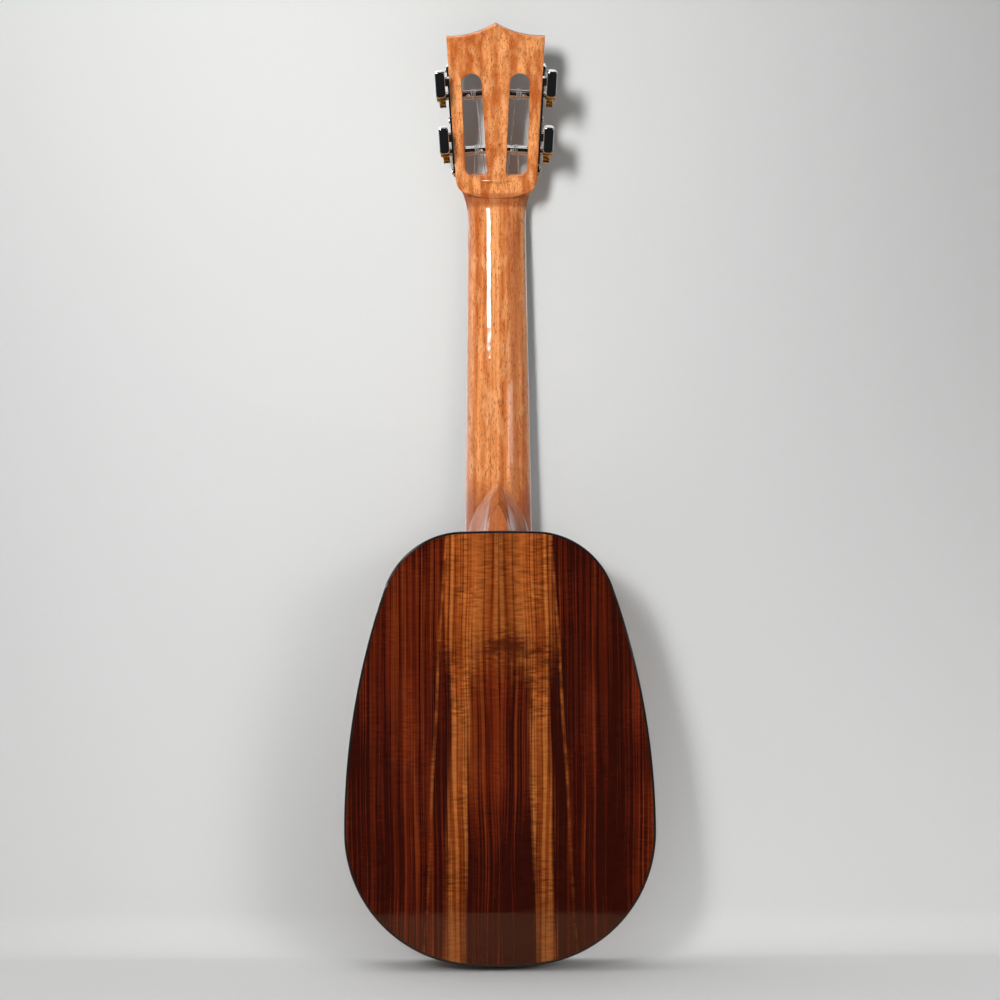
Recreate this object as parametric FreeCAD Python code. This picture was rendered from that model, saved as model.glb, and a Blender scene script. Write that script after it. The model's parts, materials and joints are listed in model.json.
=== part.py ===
import FreeCAD, Part
import math
import os

from FreeCAD import Matrix, Placement, Vector

# A pineapple ukulele of concert size with a slotted head.
# All lengths are millimetres and all angles are degrees.
# The tail rests at height zero, the neck points up, the strings face -Y
# and the arched back faces +Y. The bass side is -X.

# Body
BODY_LENGTH = 268.0
BODY_WIDTH = 191.7
BODY_DEPTH = 66.0
WIDEST_HEIGHT_SHARE = 0.4309
FLANK_DRAW_IN_SHARE = 0.2055
SHOULDER_RADIUS_SHARE = 0.2681
HEAD_END_RADIUS = 620.0
TAIL_RADIUS = 221.0
DOME_RADIUS = 3000.0
DOME_HEIGHT = 107.0
TOP_THICKNESS = 2.0
BACK_THICKNESS = 2.0
SIDE_THICKNESS = 2.0
BINDING_WIDTH = 1.5
BINDING_HEIGHT = 5.5
BINDING_ROUNDING = 0.8
LINING_WIDTH = 4.5
LINING_HEIGHT = 6.0
BLOCK_CLEARANCE = 0.1
NECK_BLOCK_WIDTH = 52.0
NECK_BLOCK_LENGTH = 22.0
TAIL_BLOCK_WIDTH = 46.0
TAIL_BLOCK_LENGTH = 15.0

# Sound hole and its ring
HOLE_RADIUS = 29.0
HOLE_BELOW_NECK = 83.0
ROSETTE_INNER_RADIUS = 31.5
ROSETTE_WIDTH = 6.0
ROSETTE_DEPTH = 1.0

# Braces under the top and the back
BRACE_WIDTH = 6.0
BRACE_HEIGHT = 9.0
BRACE_END_HEIGHT = 3.0
BRACE_TAPER = 22.0
BRACE_END_GAP = 0.3
LOWER_BRACE_BELOW_HOLE = 12.0
FAN_WIDTH = 4.0
FAN_HEIGHT = 5.0
FAN_SPACING = 30.0
FAN_TAIL_GAP = 24.0
FAN_BRACE_GAP = 0.3
PATCH_MARGIN = 3.0
PATCH_THICKNESS = 2.0
BACK_BRACE_SHARES = (0.21, 0.5, 0.78)
STRIP_WIDTH = 16.0
STRIP_THICKNESS = 1.5

# Scale, fretboard and frets
SCALE_LENGTH = 376.0
BODY_FRET_COUNT = 14
FRET_COUNT = 18
SADDLE_COMPENSATION = 1.7
NUT_WIDTH = 36.0
BODY_JOINT_WIDTH = 42.0
FRETBOARD_THICKNESS = 5.0
FRETBOARD_OVERRUN = 5.5
FRET_CROWN_WIDTH = 2.0
FRET_CROWN_HEIGHT = 1.0
FRET_TANG_WIDTH = 0.5
FRET_TANG_DEPTH = 1.5
FRET_END_INSET = 0.3
DOT_RADIUS = 2.5
DOT_THICKNESS = 1.2
DOT_SPREAD = 10.0
SINGLE_DOT_COUNTS = (5, 7, 10, 15)
DOUBLE_DOT_COUNT = 12

# Neck and heel
NECK_DEPTH_AT_NUT = 13.0
NECK_DEPTH_AT_BODY = 16.5
NECK_SIDE_SHARE = 0.6
NECK_BACK_SHARE = 0.6
NECK_SECTION_SHARES = (0.0, 0.15, 0.3, 0.45, 0.6, 0.75, 0.9)
NECK_ROOT = 6.0
FLARE_LENGTH = 31.0
FLARE_REACH = 8.0
FLARE_SHARES = (0.0, 0.2, 0.34, 0.44, 0.52, 0.6, 0.74, 0.88, 1.0)
FLARE_TOP_ABOVE_NUT = 10.0
HOLLOW_LENGTH = 5.5
LIP_STEP = 0.4
HEEL_BEFORE_BACK = 7.5
HEEL_CAP_THICKNESS = 2.0
HEEL_BLEND_LENGTH = 42.0
HEEL_ARCH_SHARE = 0.08
HEEL_SECTION_SHARES = (
    (0.12, 0.975, 1.00),
    (0.22, 0.930, 0.90),
    (0.33, 0.790, 0.72),
    (0.48, 0.590, 0.565),
    (0.64, 0.455, 0.460),
    (0.82, 0.370, 0.405),
    (1.00, 0.333, 0.381),
)
DOWEL_RADIUS = 3.0
DOWEL_REACH = 9.0
DOWEL_DEPTHS = (20.0, 34.0)

# Head, tilted back behind the nut
HEAD_ANGLE = 13.0
HEAD_THICKNESS = 15.0
HEADPLATE_THICKNESS = 2.0
HEAD_TIP = 110.6
HEAD_CORNER = 102.2
HEAD_CORNER_HALF_WIDTH = 30.9
HEAD_LOW = 12.7
HEAD_LOW_HALF_WIDTH = 25.5
HEAD_CREST_SAG = 2.4
HEAD_FOOT = 4.0
HEAD_FOOT_HALF_WIDTH = 18.0
HEAD_FOOT_DROP = 3.2
HEAD_FOOT_BULGE = 2.0
SLOT_LOW = 15.3
SLOT_HIGH = 79.6
SLOT_WEB_LOW = 6.0
SLOT_WEB_HIGH = 8.9
SLOT_WIDTH_LOW = 13.6
SLOT_WIDTH_HIGH = 12.6
SLOT_CORNER = 5.0
SLOT_INNER_CORNER = 2.5
HEAD_EDGE_RADIUS = 0.6
HEADPLATE_FLARE_SHARE = 0.667
SLOT_RAMP_LENGTH = 8.0
SLOT_RAMP_DEPTH = 4.0

# Nut, saddle and bridge
NUT_THICKNESS = 4.5
NUT_CROWN = 1.0
NUT_FLOOR_RISE = 6.4
NUT_FLOOR_LENGTH = 1.4
NUT_SLOT_ANGLE = 33.0
NUT_SLOT_WIDTH = 1.7
NUT_STRING_SPACING = 9.5
BRIDGE_LENGTH = 82.0
BRIDGE_WIDTH = 20.0
BRIDGE_HEIGHT = 8.0
BRIDGE_WING_HEIGHT = 3.2
BRIDGE_WING_LENGTH = 12.0
BRIDGE_FRONT = 7.5
BRIDGE_EDGE_RADIUS = 1.0
SADDLE_RISE = 10.5
SADDLE_THICKNESS = 2.5
SADDLE_CROWN_RADIUS = 1.2
SADDLE_LENGTH = 50.0
SADDLE_SLOT_DEPTH = 4.5
SADDLE_SLOT_CLEARANCE = 0.05
SADDLE_STRING_SPACING = 13.8
STRING_SLOT_WIDTH = 1.4
STRING_SLOT_END_GAP = 2.2
KNOT_RADIUS = 1.2
KNOT_RISE = 3.0
KNOT_FROM_EDGE = 1.6
KNOT_BORE_RADIUS = 1.5
KNOT_BORE_DEPTH = 3.6

# Strings
STRING_DIAMETERS = (0.56, 0.74, 0.66, 0.60)
STRING_SEAT = 0.08
NUT_BEND_RADIUS = 2.0
WINDING_GAP = 0.45
WINDING_TURN_COUNT = 3
WINDING_CLEARANCE = 0.15

# Tuning machines, measured from the wood of the head's side
ROLLER_LOW = 30.1
ROLLER_SPACING = 35.0
ROLLER_INSET = 6.5
ROLLER_RADIUS = 2.75
ROLLER_LENGTH = 25.0
ROLLER_RUNNING_CLEARANCE = 0.06
ROLLER_WOOD_CLEARANCE = 0.35
ROLLER_BORE_END_GAP = 0.4
STRING_HOLE_RADIUS = 0.7
OUTER_WINDING_PLACE = 13.0
INNER_WINDING_PLACE = 16.0
PLATE_THICKNESS = 1.2
PLATE_WIDTH = 14.0
PLATE_OVERHANG = 9.5
PLATE_END_RADIUS = 3.6
PLATE_END_REACH = 3.0
PLATE_SCALLOP_RADIUS = 2.4
SCREW_HEAD_RADIUS = 2.1
SCREW_HEAD_HEIGHT = 1.1
SCREW_SHANK_RADIUS = 0.9
SCREW_LENGTH = 6.0
SCREW_SLOT_WIDTH = 0.6
SCREW_SLOT_DEPTH = 0.5
GEAR_TOOTH_COUNT = 15
GEAR_MODULE = 0.85
GEAR_THICKNESS = 4.0
GEAR_PLATE_GAP = 1.8
GEAR_SEAT_RADIUS = 2.0
GEAR_SEAT_CLEARANCE = 0.03
PRESSURE_ANGLE = 20.0
ADDENDUM_SHARE = 0.94
DEDENDUM_SHARE = 1.12
TOOTH_SHARE = 0.45
THREAD_SHARE = 0.42
THREAD_ROOT_SHARE = 1.3
GEAR_SCREW_RADIUS = 1.0
GEAR_SCREW_DEPTH = 5.0
GEAR_SCREW_HEAD_RADIUS = 3.2
GEAR_SCREW_HEAD_HEIGHT = 1.6
WORM_PITCH_RADIUS = 2.8
WORM_HEIGHT = 5.6
WORM_LENGTH = 7.0
WORM_END_GAP = 0.12
JOURNAL_RADIUS = 1.4
JOURNAL_CLEARANCE = 0.05
LUG_THICKNESS = 1.9
LUG_HALF_WIDTH = 2.55
STEM_RADIUS = 1.9
STEM_GAP = 0.3
BUTTON_START = 9.8
BUTTON_LENGTH = 12.5
BUTTON_HEIGHT = 17.0
BUTTON_WIDTH = 6.4
BUTTON_CORNER = 2.2
BUTTON_ROUNDING = 1.1
BUTTON_SOCKET_DEPTH = 7.0
BUTTON_SOCKET_CLEARANCE = 0.02

# One overrun serves all cuts that must pass right through
OVERRUN = 3.0

# Places worked out from the sizes above
HALF_WIDTH = BODY_WIDTH / 2
WIDEST_HEIGHT = WIDEST_HEIGHT_SHARE * BODY_WIDTH
FLANK_DRAW_IN = FLANK_DRAW_IN_SHARE * BODY_WIDTH
SHOULDER_RADIUS = SHOULDER_RADIUS_SHARE * BODY_WIDTH
STRING_FRONT = SADDLE_RISE + STRING_SEAT + max(STRING_DIAMETERS)
FRONT_Y = (STRING_FRONT - BODY_DEPTH) / 2
HOLE_HEIGHT = BODY_LENGTH - HOLE_BELOW_NECK
HEEL_DEPTH = BODY_DEPTH - HEEL_BEFORE_BACK
NUT_HEIGHT = BODY_LENGTH + SCALE_LENGTH * (1 - 2 ** (-BODY_FRET_COUNT / 12))
HEAD_BASE = NUT_HEIGHT + NUT_THICKNESS
SADDLE_HEIGHT = NUT_HEIGHT - SCALE_LENGTH - SADDLE_COMPENSATION
BRIDGE_TOP = SADDLE_HEIGHT + BRIDGE_FRONT
BRIDGE_BOTTOM = BRIDGE_TOP - BRIDGE_WIDTH
NECK_TAPER = (BODY_JOINT_WIDTH - NUT_WIDTH) / (NUT_HEIGHT - BODY_LENGTH)
LINING_INSET = SIDE_THICKNESS + LINING_WIDTH
HEAD_SIN = math.sin(math.radians(HEAD_ANGLE))
HEAD_COS = math.cos(math.radians(HEAD_ANGLE))
HEAD_SLOPE = (HEAD_CORNER_HALF_WIDTH - HEAD_LOW_HALF_WIDTH) / (HEAD_CORNER - HEAD_LOW)
SIDE_ANGLE = math.atan(HEAD_SLOPE)
ROLLER_HIGH = ROLLER_LOW + ROLLER_SPACING * math.cos(SIDE_ANGLE)
GEAR_RADIUS = GEAR_MODULE * GEAR_TOOTH_COUNT / 2
GEAR_PITCH = math.pi * GEAR_MODULE
ADDENDUM = ADDENDUM_SHARE * GEAR_MODULE
DEDENDUM = DEDENDUM_SHARE * GEAR_MODULE
CENTRE_DISTANCE = GEAR_RADIUS + WORM_PITCH_RADIUS
GEAR_START = PLATE_THICKNESS + GEAR_PLATE_GAP
GEAR_END = GEAR_START + GEAR_THICKNESS
LUG_START = WORM_LENGTH / 2 + WORM_END_GAP
LUG_END = LUG_START + LUG_THICKNESS

parts = {}


def on_body(x, depth, height):
    """A point given by its depth behind the soundboard's outer face."""
    return Vector(x, FRONT_Y + depth, height)


def on_head(x, along, inward):
    """A point given along the tilted head and inward from its front wood face."""
    depth = along * HEAD_SIN + inward * HEAD_COS
    height = HEAD_BASE + along * HEAD_COS - inward * HEAD_SIN
    return on_body(x, depth, height)


HEAD_INWARD = on_head(0, 0, HEAD_THICKNESS) - on_head(0, 0, 0)
HEAD_INWARD.normalize()


def drawn_face(place, start, steps):
    """A flat face; a step is an end point, or a middle and an end point of an arc."""
    edges = []
    here = start
    for step in steps:
        if len(step) == 1:
            edges.append(Part.makeLine(place(*here), place(*step[0])))
        else:
            arc = Part.Arc(place(*here), place(*step[0]), place(*step[1]))
            edges.append(arc.toShape())
        here = step[-1]
    return Part.Face(Part.Wire(edges))


def block(x0, x1, depth0, depth1, height0, height1):
    corner = on_body(x0, depth0, height0)
    return Part.makeBox(x1 - x0, depth1 - depth0, height1 - height0, corner)


def head_prism(start, steps, inward0, inward1):
    """A drawing in the head's plane, carried inward from one level to another."""
    face = drawn_face(lambda x, along: on_head(x, along, inward0), start, steps)
    return face.extrude(HEAD_INWARD * (inward1 - inward0))


def ring(inner_radius, outer_radius, depth0, depth1, height):
    """A flat ring about an axis along Y at a height on the body's middle."""
    centre = on_body(0, depth0, height)
    outer = Part.makeCylinder(outer_radius, depth1 - depth0, centre, Vector(0, 1, 0))
    inner = Part.makeCylinder(inner_radius, depth1 - depth0, centre, Vector(0, 1, 0))
    return outer.cut(inner)


def joined(shapes):
    first, *rest = shapes
    return first.multiFuse(rest).removeSplitter() if rest else first


# The outline of the body is eight arcs that meet in common tangents.
# Above the widest line each side has a flank and a shoulder, closed by one
# wide arc at the neck; below it each side has one corner, closed by the tail.

NECK_REACH = BODY_LENGTH - WIDEST_HEIGHT
FLANK_RADIUS = (NECK_REACH ** 2 + FLANK_DRAW_IN ** 2) / (2 * FLANK_DRAW_IN)


def shoulder_centre():
    """Centre of the circle that touches both the flank and the neck-end arc."""
    flank_x = HALF_WIDTH - FLANK_RADIUS
    end_z = NECK_REACH - HEAD_END_RADIUS
    to_flank = FLANK_RADIUS - SHOULDER_RADIUS
    to_end = HEAD_END_RADIUS - SHOULDER_RADIUS
    span = math.hypot(flank_x, end_z)
    along = (to_flank ** 2 - to_end ** 2 + span ** 2) / (2 * span)
    off = math.sqrt(to_flank ** 2 - along ** 2)
    x = flank_x - flank_x * along / span - end_z * off / span
    z = end_z * along / span - flank_x * off / span
    return x, z


SHOULDER_X, SHOULDER_Z = shoulder_centre()
CORNER_RADIUS = (
    (2 * WIDEST_HEIGHT * TAIL_RADIUS - HALF_WIDTH ** 2 - WIDEST_HEIGHT ** 2)
    / (2 * (TAIL_RADIUS - HALF_WIDTH))
)
FLANK_TURN = math.atan2(SHOULDER_Z, SHOULDER_X - HALF_WIDTH + FLANK_RADIUS)
END_TURN = math.atan2(SHOULDER_Z - NECK_REACH + HEAD_END_RADIUS, SHOULDER_X)
TAIL_TURN = math.atan2(TAIL_RADIUS - WIDEST_HEIGHT, HALF_WIDTH - CORNER_RADIUS)


def outline_arcs():
    """Each arc as centre x, centre height, radius, first and last angle."""
    full = 2 * math.pi
    flank_x = HALF_WIDTH - FLANK_RADIUS
    end_z = BODY_LENGTH - HEAD_END_RADIUS
    shoulder_z = WIDEST_HEIGHT + SHOULDER_Z
    corner_x = HALF_WIDTH - CORNER_RADIUS
    return (
        (flank_x, WIDEST_HEIGHT, FLANK_RADIUS, 0, FLANK_TURN),
        (SHOULDER_X, shoulder_z, SHOULDER_RADIUS, FLANK_TURN, END_TURN),
        (0, end_z, HEAD_END_RADIUS, END_TURN, math.pi - END_TURN),
        (-SHOULDER_X, shoulder_z, SHOULDER_RADIUS, math.pi - END_TURN, math.pi - FLANK_TURN),
        (-flank_x, WIDEST_HEIGHT, FLANK_RADIUS, math.pi - FLANK_TURN, math.pi),
        (-corner_x, WIDEST_HEIGHT, CORNER_RADIUS, math.pi, math.pi + TAIL_TURN),
        (0, TAIL_RADIUS, TAIL_RADIUS, math.pi + TAIL_TURN, full - TAIL_TURN),
        (corner_x, WIDEST_HEIGHT, CORNER_RADIUS, full - TAIL_TURN, full),
    )


def half_width_at(height, inset):
    """Half the width of the outline at a height, with the edge moved inward."""
    rise = height - WIDEST_HEIGHT
    if rise < 0:
        radius = CORNER_RADIUS - inset
        return HALF_WIDTH - CORNER_RADIUS + math.sqrt(radius ** 2 - rise ** 2)
    if rise < (FLANK_RADIUS - inset) * math.sin(FLANK_TURN):
        radius = FLANK_RADIUS - inset
        return HALF_WIDTH - FLANK_RADIUS + math.sqrt(radius ** 2 - rise ** 2)
    radius = SHOULDER_RADIUS - inset
    return SHOULDER_X + math.sqrt(radius ** 2 - (rise - SHOULDER_Z) ** 2)


def body_prism(inset, depth0, depth1):
    """The body's outline, moved inward by the inset, between two depths."""
    edges = []
    for centre_x, centre_z, outer_radius, first, last in outline_arcs():
        radius = outer_radius - inset
        points = []
        for angle in (first, (first + last) / 2, last):
            x = centre_x + radius * math.cos(angle)
            height = centre_z + radius * math.sin(angle)
            points.append(on_body(x, depth0, height))
        edges.append(Part.Arc(*points).toShape())
    face = Part.Face(Part.Wire(edges))
    return face.extrude(Vector(0, depth1 - depth0, 0))


def body_ring(inset0, inset1, depth0, depth1):
    return body_prism(inset0, depth0, depth1).cut(body_prism(inset1, depth0, depth1))


def dome(inset):
    """The ball that the arched back is cut to, made smaller by the inset."""
    centre = on_body(0, BODY_DEPTH - DOME_RADIUS, DOME_HEIGHT)
    return Part.makeSphere(DOME_RADIUS - inset, centre)


def dome_layer(shape, inset0, inset1):
    return shape.common(dome(inset0)).cut(dome(inset1))


def halves(shape):
    """The bass half and the treble half of a shape, parted at the middle."""
    depth0 = -OVERRUN
    depth1 = BODY_DEPTH + OVERRUN
    bass = block(-BODY_WIDTH, 0, depth0, depth1, -OVERRUN, BODY_LENGTH + OVERRUN)
    return shape.common(bass), shape.cut(bass)


def softened(shape, wanted, radius):
    """Round the edges whose middle point passes the test."""
    edges = [edge for edge in shape.Edges if wanted(edge)]
    return shape.makeFillet(radius, edges)


def edge_middle(edge):
    return edge.valueAt((edge.FirstParameter + edge.LastParameter) / 2)


def build_plates():
    """Soundboard and back, each of two matched halves glued at the middle."""
    top = body_prism(BINDING_WIDTH, 0, TOP_THICKNESS)
    hole = ring(0.0, HOLE_RADIUS, -OVERRUN, TOP_THICKNESS + OVERRUN, HOLE_HEIGHT)
    channel = rosette()
    top = top.cut(hole).cut(channel)
    parts["top_plate_bass"], parts["top_plate_treble"] = halves(top)
    parts["sound_hole_rosette"] = channel
    back = body_prism(BINDING_WIDTH, BODY_DEPTH / 2, BODY_DEPTH + OVERRUN)
    back = dome_layer(back, 0, BACK_THICKNESS)
    parts["back_plate_bass"], parts["back_plate_treble"] = halves(back)


def rosette():
    outer_radius = ROSETTE_INNER_RADIUS + ROSETTE_WIDTH
    return ring(ROSETTE_INNER_RADIUS, outer_radius, 0, ROSETTE_DEPTH, HOLE_HEIGHT)


def dowel_set():
    """Two round pins across the joint between the neck and its block."""
    pins = []
    for depth in DOWEL_DEPTHS:
        foot = on_body(0, depth, BODY_LENGTH - DOWEL_REACH)
        pins.append(Part.makeCylinder(DOWEL_RADIUS, 2 * DOWEL_REACH, foot, Vector(0, 0, 1)))
    return Part.makeCompound(pins)


def build_rim():
    """Bent sides, the bindings let into their corners, and the inner linings."""
    shell = body_ring(0, SIDE_THICKNESS, TOP_THICKNESS, BODY_DEPTH + OVERRUN)
    top_binding = body_ring(0, BINDING_WIDTH, 0, BINDING_HEIGHT)
    back_blank = body_ring(0, BINDING_WIDTH, BODY_DEPTH / 2, BODY_DEPTH + OVERRUN)
    back_binding = dome_layer(back_blank, 0, BINDING_HEIGHT)
    back_room = back_blank.cut(dome(BINDING_HEIGHT))
    shell = shell.common(dome(BACK_THICKNESS)).cut(top_binding).cut(back_room)
    shell = shell.cut(dowel_set())
    parts["side_bass"], parts["side_treble"] = halves(shell)

    def outer_front(edge):
        point = edge_middle(edge)
        on_front = abs(point.y - FRONT_Y) < BINDING_ROUNDING / 2
        return on_front and on_outline(point, 0)

    def outer_back(edge):
        point = edge_middle(edge)
        near_back = point.y > FRONT_Y + BODY_DEPTH / 2
        proud = point.y > dome_front(point, BINDING_HEIGHT / 2)
        return near_back and proud and on_outline(point, 0)

    parts["top_binding"] = softened(top_binding, outer_front, BINDING_ROUNDING)
    parts["back_binding"] = softened(back_binding, outer_back, BINDING_ROUNDING)
    blocks = end_blocks(BLOCK_CLEARANCE)
    top_ring = body_ring(SIDE_THICKNESS, LINING_INSET, TOP_THICKNESS, TOP_THICKNESS + LINING_HEIGHT)
    parts["top_lining"] = top_ring.cut(blocks)
    back_ring = body_ring(SIDE_THICKNESS, LINING_INSET, BODY_DEPTH / 2, BODY_DEPTH + OVERRUN)
    back_ring = dome_layer(back_ring, BACK_THICKNESS, BACK_THICKNESS + LINING_HEIGHT)
    parts["back_lining"] = back_ring.cut(blocks)
    block_body = body_prism(SIDE_THICKNESS, TOP_THICKNESS, BODY_DEPTH + OVERRUN)
    block_body = block_body.common(dome(BACK_THICKNESS))
    neck_part, tail_part = end_blocks(0).Solids
    parts["neck_block"] = block_body.common(neck_part).cut(dowel_set())
    parts["tail_block"] = block_body.common(tail_part)


def dome_front(point, inset):
    """The Y of the back's surface, moved inward, over a point of the body."""
    reach = math.hypot(point.x, point.z - DOME_HEIGHT)
    radius = DOME_RADIUS - inset
    return FRONT_Y + BODY_DEPTH - DOME_RADIUS + math.sqrt(radius ** 2 - reach ** 2)


def on_outline(point, inset):
    """True for a point that lies on the outline moved inward by the inset."""
    for centre_x, centre_z, outer_radius, first, last in outline_arcs():
        angle = math.atan2(point.z - centre_z, point.x - centre_x) % (2 * math.pi)
        reach = math.hypot(point.x - centre_x, point.z - centre_z)
        close = abs(reach - outer_radius + inset) < BINDING_WIDTH / 4
        if close and first - SIDE_ANGLE < angle < last + SIDE_ANGLE:
            return True
    return False


def end_blocks(clearance):
    """The room that the neck block and the tail block take, in that order."""
    neck_half = NECK_BLOCK_WIDTH / 2 + clearance
    tail_half = TAIL_BLOCK_WIDTH / 2 + clearance
    neck_low = BODY_LENGTH - SIDE_THICKNESS - NECK_BLOCK_LENGTH - clearance
    tail_high = SIDE_THICKNESS + TAIL_BLOCK_LENGTH + clearance
    deep = BODY_DEPTH + OVERRUN
    neck_part = block(-neck_half, neck_half, 0, deep, neck_low, BODY_LENGTH)
    tail_part = block(-tail_half, tail_half, 0, deep, 0, tail_high)
    return Part.makeCompound([neck_part, tail_part])


def cross_brace(height, depth, direction):
    """A bar across the body with tapered ends; direction points into the body."""
    half = half_width_at(height, LINING_INSET) - BRACE_END_GAP
    tall = depth + direction * BRACE_HEIGHT
    short = depth + direction * BRACE_END_HEIGHT
    low = height - BRACE_WIDTH / 2

    def place(x, level):
        return on_body(x, level, low)

    middle = half - BRACE_TAPER
    steps = [[(half, depth)], [(half, short)], [(middle, tall)]]
    steps += [[(-middle, tall)], [(-half, short)], [(-half, depth)]]
    bar = drawn_face(place, (-half, depth), steps).extrude(Vector(0, 0, BRACE_WIDTH))
    room = body_prism(LINING_INSET + BRACE_END_GAP, 0, BODY_DEPTH + OVERRUN)
    return bar.common(room)


def build_braces():
    """Bars glued under the plates, and the plate under the bridge."""
    block_end = BODY_LENGTH - SIDE_THICKNESS - NECK_BLOCK_LENGTH
    upper = (HOLE_HEIGHT + HOLE_RADIUS + block_end) / 2
    lower = HOLE_HEIGHT - HOLE_RADIUS - LOWER_BRACE_BELOW_HOLE
    parts["upper_top_brace"] = cross_brace(upper, TOP_THICKNESS, 1)
    parts["lower_top_brace"] = cross_brace(lower, TOP_THICKNESS, 1)
    patch_half = BRIDGE_LENGTH / 2 + PATCH_MARGIN
    patch_low = BRIDGE_BOTTOM - PATCH_MARGIN
    patch_high = BRIDGE_TOP + PATCH_MARGIN
    patch_depth = TOP_THICKNESS + PATCH_THICKNESS
    patch = block(-patch_half, patch_half, TOP_THICKNESS, patch_depth, patch_low, patch_high)
    parts["bridge_patch"] = patch
    fans = []
    fan_high = lower - BRACE_WIDTH / 2 - FAN_BRACE_GAP
    for place in (-1, 0, 1):
        left = place * FAN_SPACING - FAN_WIDTH / 2
        fan = block(left, left + FAN_WIDTH, TOP_THICKNESS, TOP_THICKNESS + FAN_HEIGHT,
                    FAN_TAIL_GAP, fan_high)
        fans.append(fan.cut(patch))
    parts["fan_braces"] = Part.makeCompound(fans)
    half_strip = STRIP_WIDTH / 2
    strip_low = SIDE_THICKNESS + TAIL_BLOCK_LENGTH + BRACE_END_GAP
    strip_high = block_end - BRACE_END_GAP
    strip = block(-half_strip, half_strip, BODY_DEPTH / 2, BODY_DEPTH, strip_low, strip_high)
    strip = dome_layer(strip, BACK_THICKNESS, BACK_THICKNESS + STRIP_THICKNESS)
    parts["back_centre_strip"] = strip
    names = ("lower_back_brace", "middle_back_brace", "upper_back_brace")
    for name, share in zip(names, BACK_BRACE_SHARES):
        height = share * BODY_LENGTH
        bar = cross_brace(height, BODY_DEPTH, -1)
        parts[name] = back_fitted(bar, height).cut(strip)


def back_fitted(bar, height):
    """A bar lowered to the arched back and cut to its inner face."""
    edge = Vector(half_width_at(height, LINING_INSET), 0, height)
    drop = FRONT_Y + BODY_DEPTH - dome_front(edge, BACK_THICKNESS)
    lowered = bar.copy()
    lowered.translate(Vector(0, -drop, 0))
    face_plate = bar.copy()
    return joined([lowered, face_plate]).common(dome(BACK_THICKNESS))


def fretboard_half(height):
    return (NUT_WIDTH + NECK_TAPER * (NUT_HEIGHT - height)) / 2


def fret_height(number):
    return NUT_HEIGHT - SCALE_LENGTH * (1 - 2 ** (-number / 12))


def fret_bar(number, crown_width, crown_height, tang_width, tang_depth, inset):
    """A fret: a low round crown on a thin tang that is pressed into a slot."""
    height = fret_height(number)
    half = fretboard_half(height) - inset
    surface = -FRETBOARD_THICKNESS

    def place(depth, along):
        return on_body(-half, depth, height + along)

    side = crown_width / 2
    tang = tang_width / 2
    steps = [
        [(surface - crown_height, 0), (surface, side)],
        [(surface, tang)],
        [(surface + tang_depth, tang)],
        [(surface + tang_depth, -tang)],
        [(surface, -tang)],
        [(surface, -side)],
    ]
    return drawn_face(place, (surface, -side), steps).extrude(Vector(2 * half, 0, 0))


def build_fretboard():
    """Fretboard with its slots, frets and round inlays."""
    low = fret_height(FRET_COUNT) - FRETBOARD_OVERRUN
    wide = fretboard_half(low)
    narrow = fretboard_half(NUT_HEIGHT)
    steps = [[(wide, low)], [(narrow, NUT_HEIGHT)], [(-narrow, NUT_HEIGHT)], [(-wide, low)]]
    face = drawn_face(lambda x, z: on_body(x, 0, z), (-wide, low), steps)
    board = face.extrude(Vector(0, -FRETBOARD_THICKNESS, 0))
    numbers = range(1, FRET_COUNT + 1)
    frets = [
        fret_bar(n, FRET_CROWN_WIDTH, FRET_CROWN_HEIGHT, FRET_TANG_WIDTH, FRET_TANG_DEPTH,
                 FRET_END_INSET)
        for n in numbers
    ]
    dots = []
    spots = [(0, number) for number in SINGLE_DOT_COUNTS]
    spots += [(-DOT_SPREAD / 2, DOUBLE_DOT_COUNT), (DOT_SPREAD / 2, DOUBLE_DOT_COUNT)]
    for x, number in spots:
        height = (fret_height(number) + fret_height(number - 1)) / 2
        foot = on_body(x, -FRETBOARD_THICKNESS, height)
        dots.append(Part.makeCylinder(DOT_RADIUS, DOT_THICKNESS, foot, Vector(0, 1, 0)))
    parts["frets"] = Part.makeCompound(frets)
    parts["position_dots"] = Part.makeCompound(dots)
    parts["fretboard"] = board.cut(Part.makeCompound(frets + dots))


def neck_section(half_width, depth, height):
    """Flat under the fretboard and round at the back, closed in one plane."""
    right = on_body(half_width, 0, height)
    left = on_body(-half_width, 0, height)
    back = on_body(0, depth, height)
    edges = [Part.makeLine(left, right)]
    for start, end, side in ((right, back, 1), (back, left, -1)):
        low = on_body(side * half_width, depth * NECK_SIDE_SHARE, height)
        flat = on_body(side * half_width * NECK_BACK_SHARE, depth, height)
        curve = Part.BezierCurve()
        poles = [start, low, flat, end] if side > 0 else [start, flat, low, end]
        curve.setPoles(poles)
        edges.append(curve.toShape())
    return Part.Wire(edges)


def neck_depth(height):
    """The taper's depth, and near the head the hollow that rises to its lip."""
    share = (NUT_HEIGHT - height) / (NUT_HEIGHT - BODY_LENGTH)
    depth = NECK_DEPTH_AT_NUT + share * (NECK_DEPTH_AT_BODY - NECK_DEPTH_AT_NUT)
    lip = on_head(0, HEAD_FOOT - HEAD_FOOT_DROP, HEAD_THICKNESS)
    rise = lip.y - FRONT_Y - LIP_STEP - depth
    above = height - lip.z
    hollow = min(1, max(0, 1 + above / HOLLOW_LENGTH))
    return depth + rise * hollow ** 2 + max(0, above) * HEAD_SIN / HEAD_COS


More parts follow.
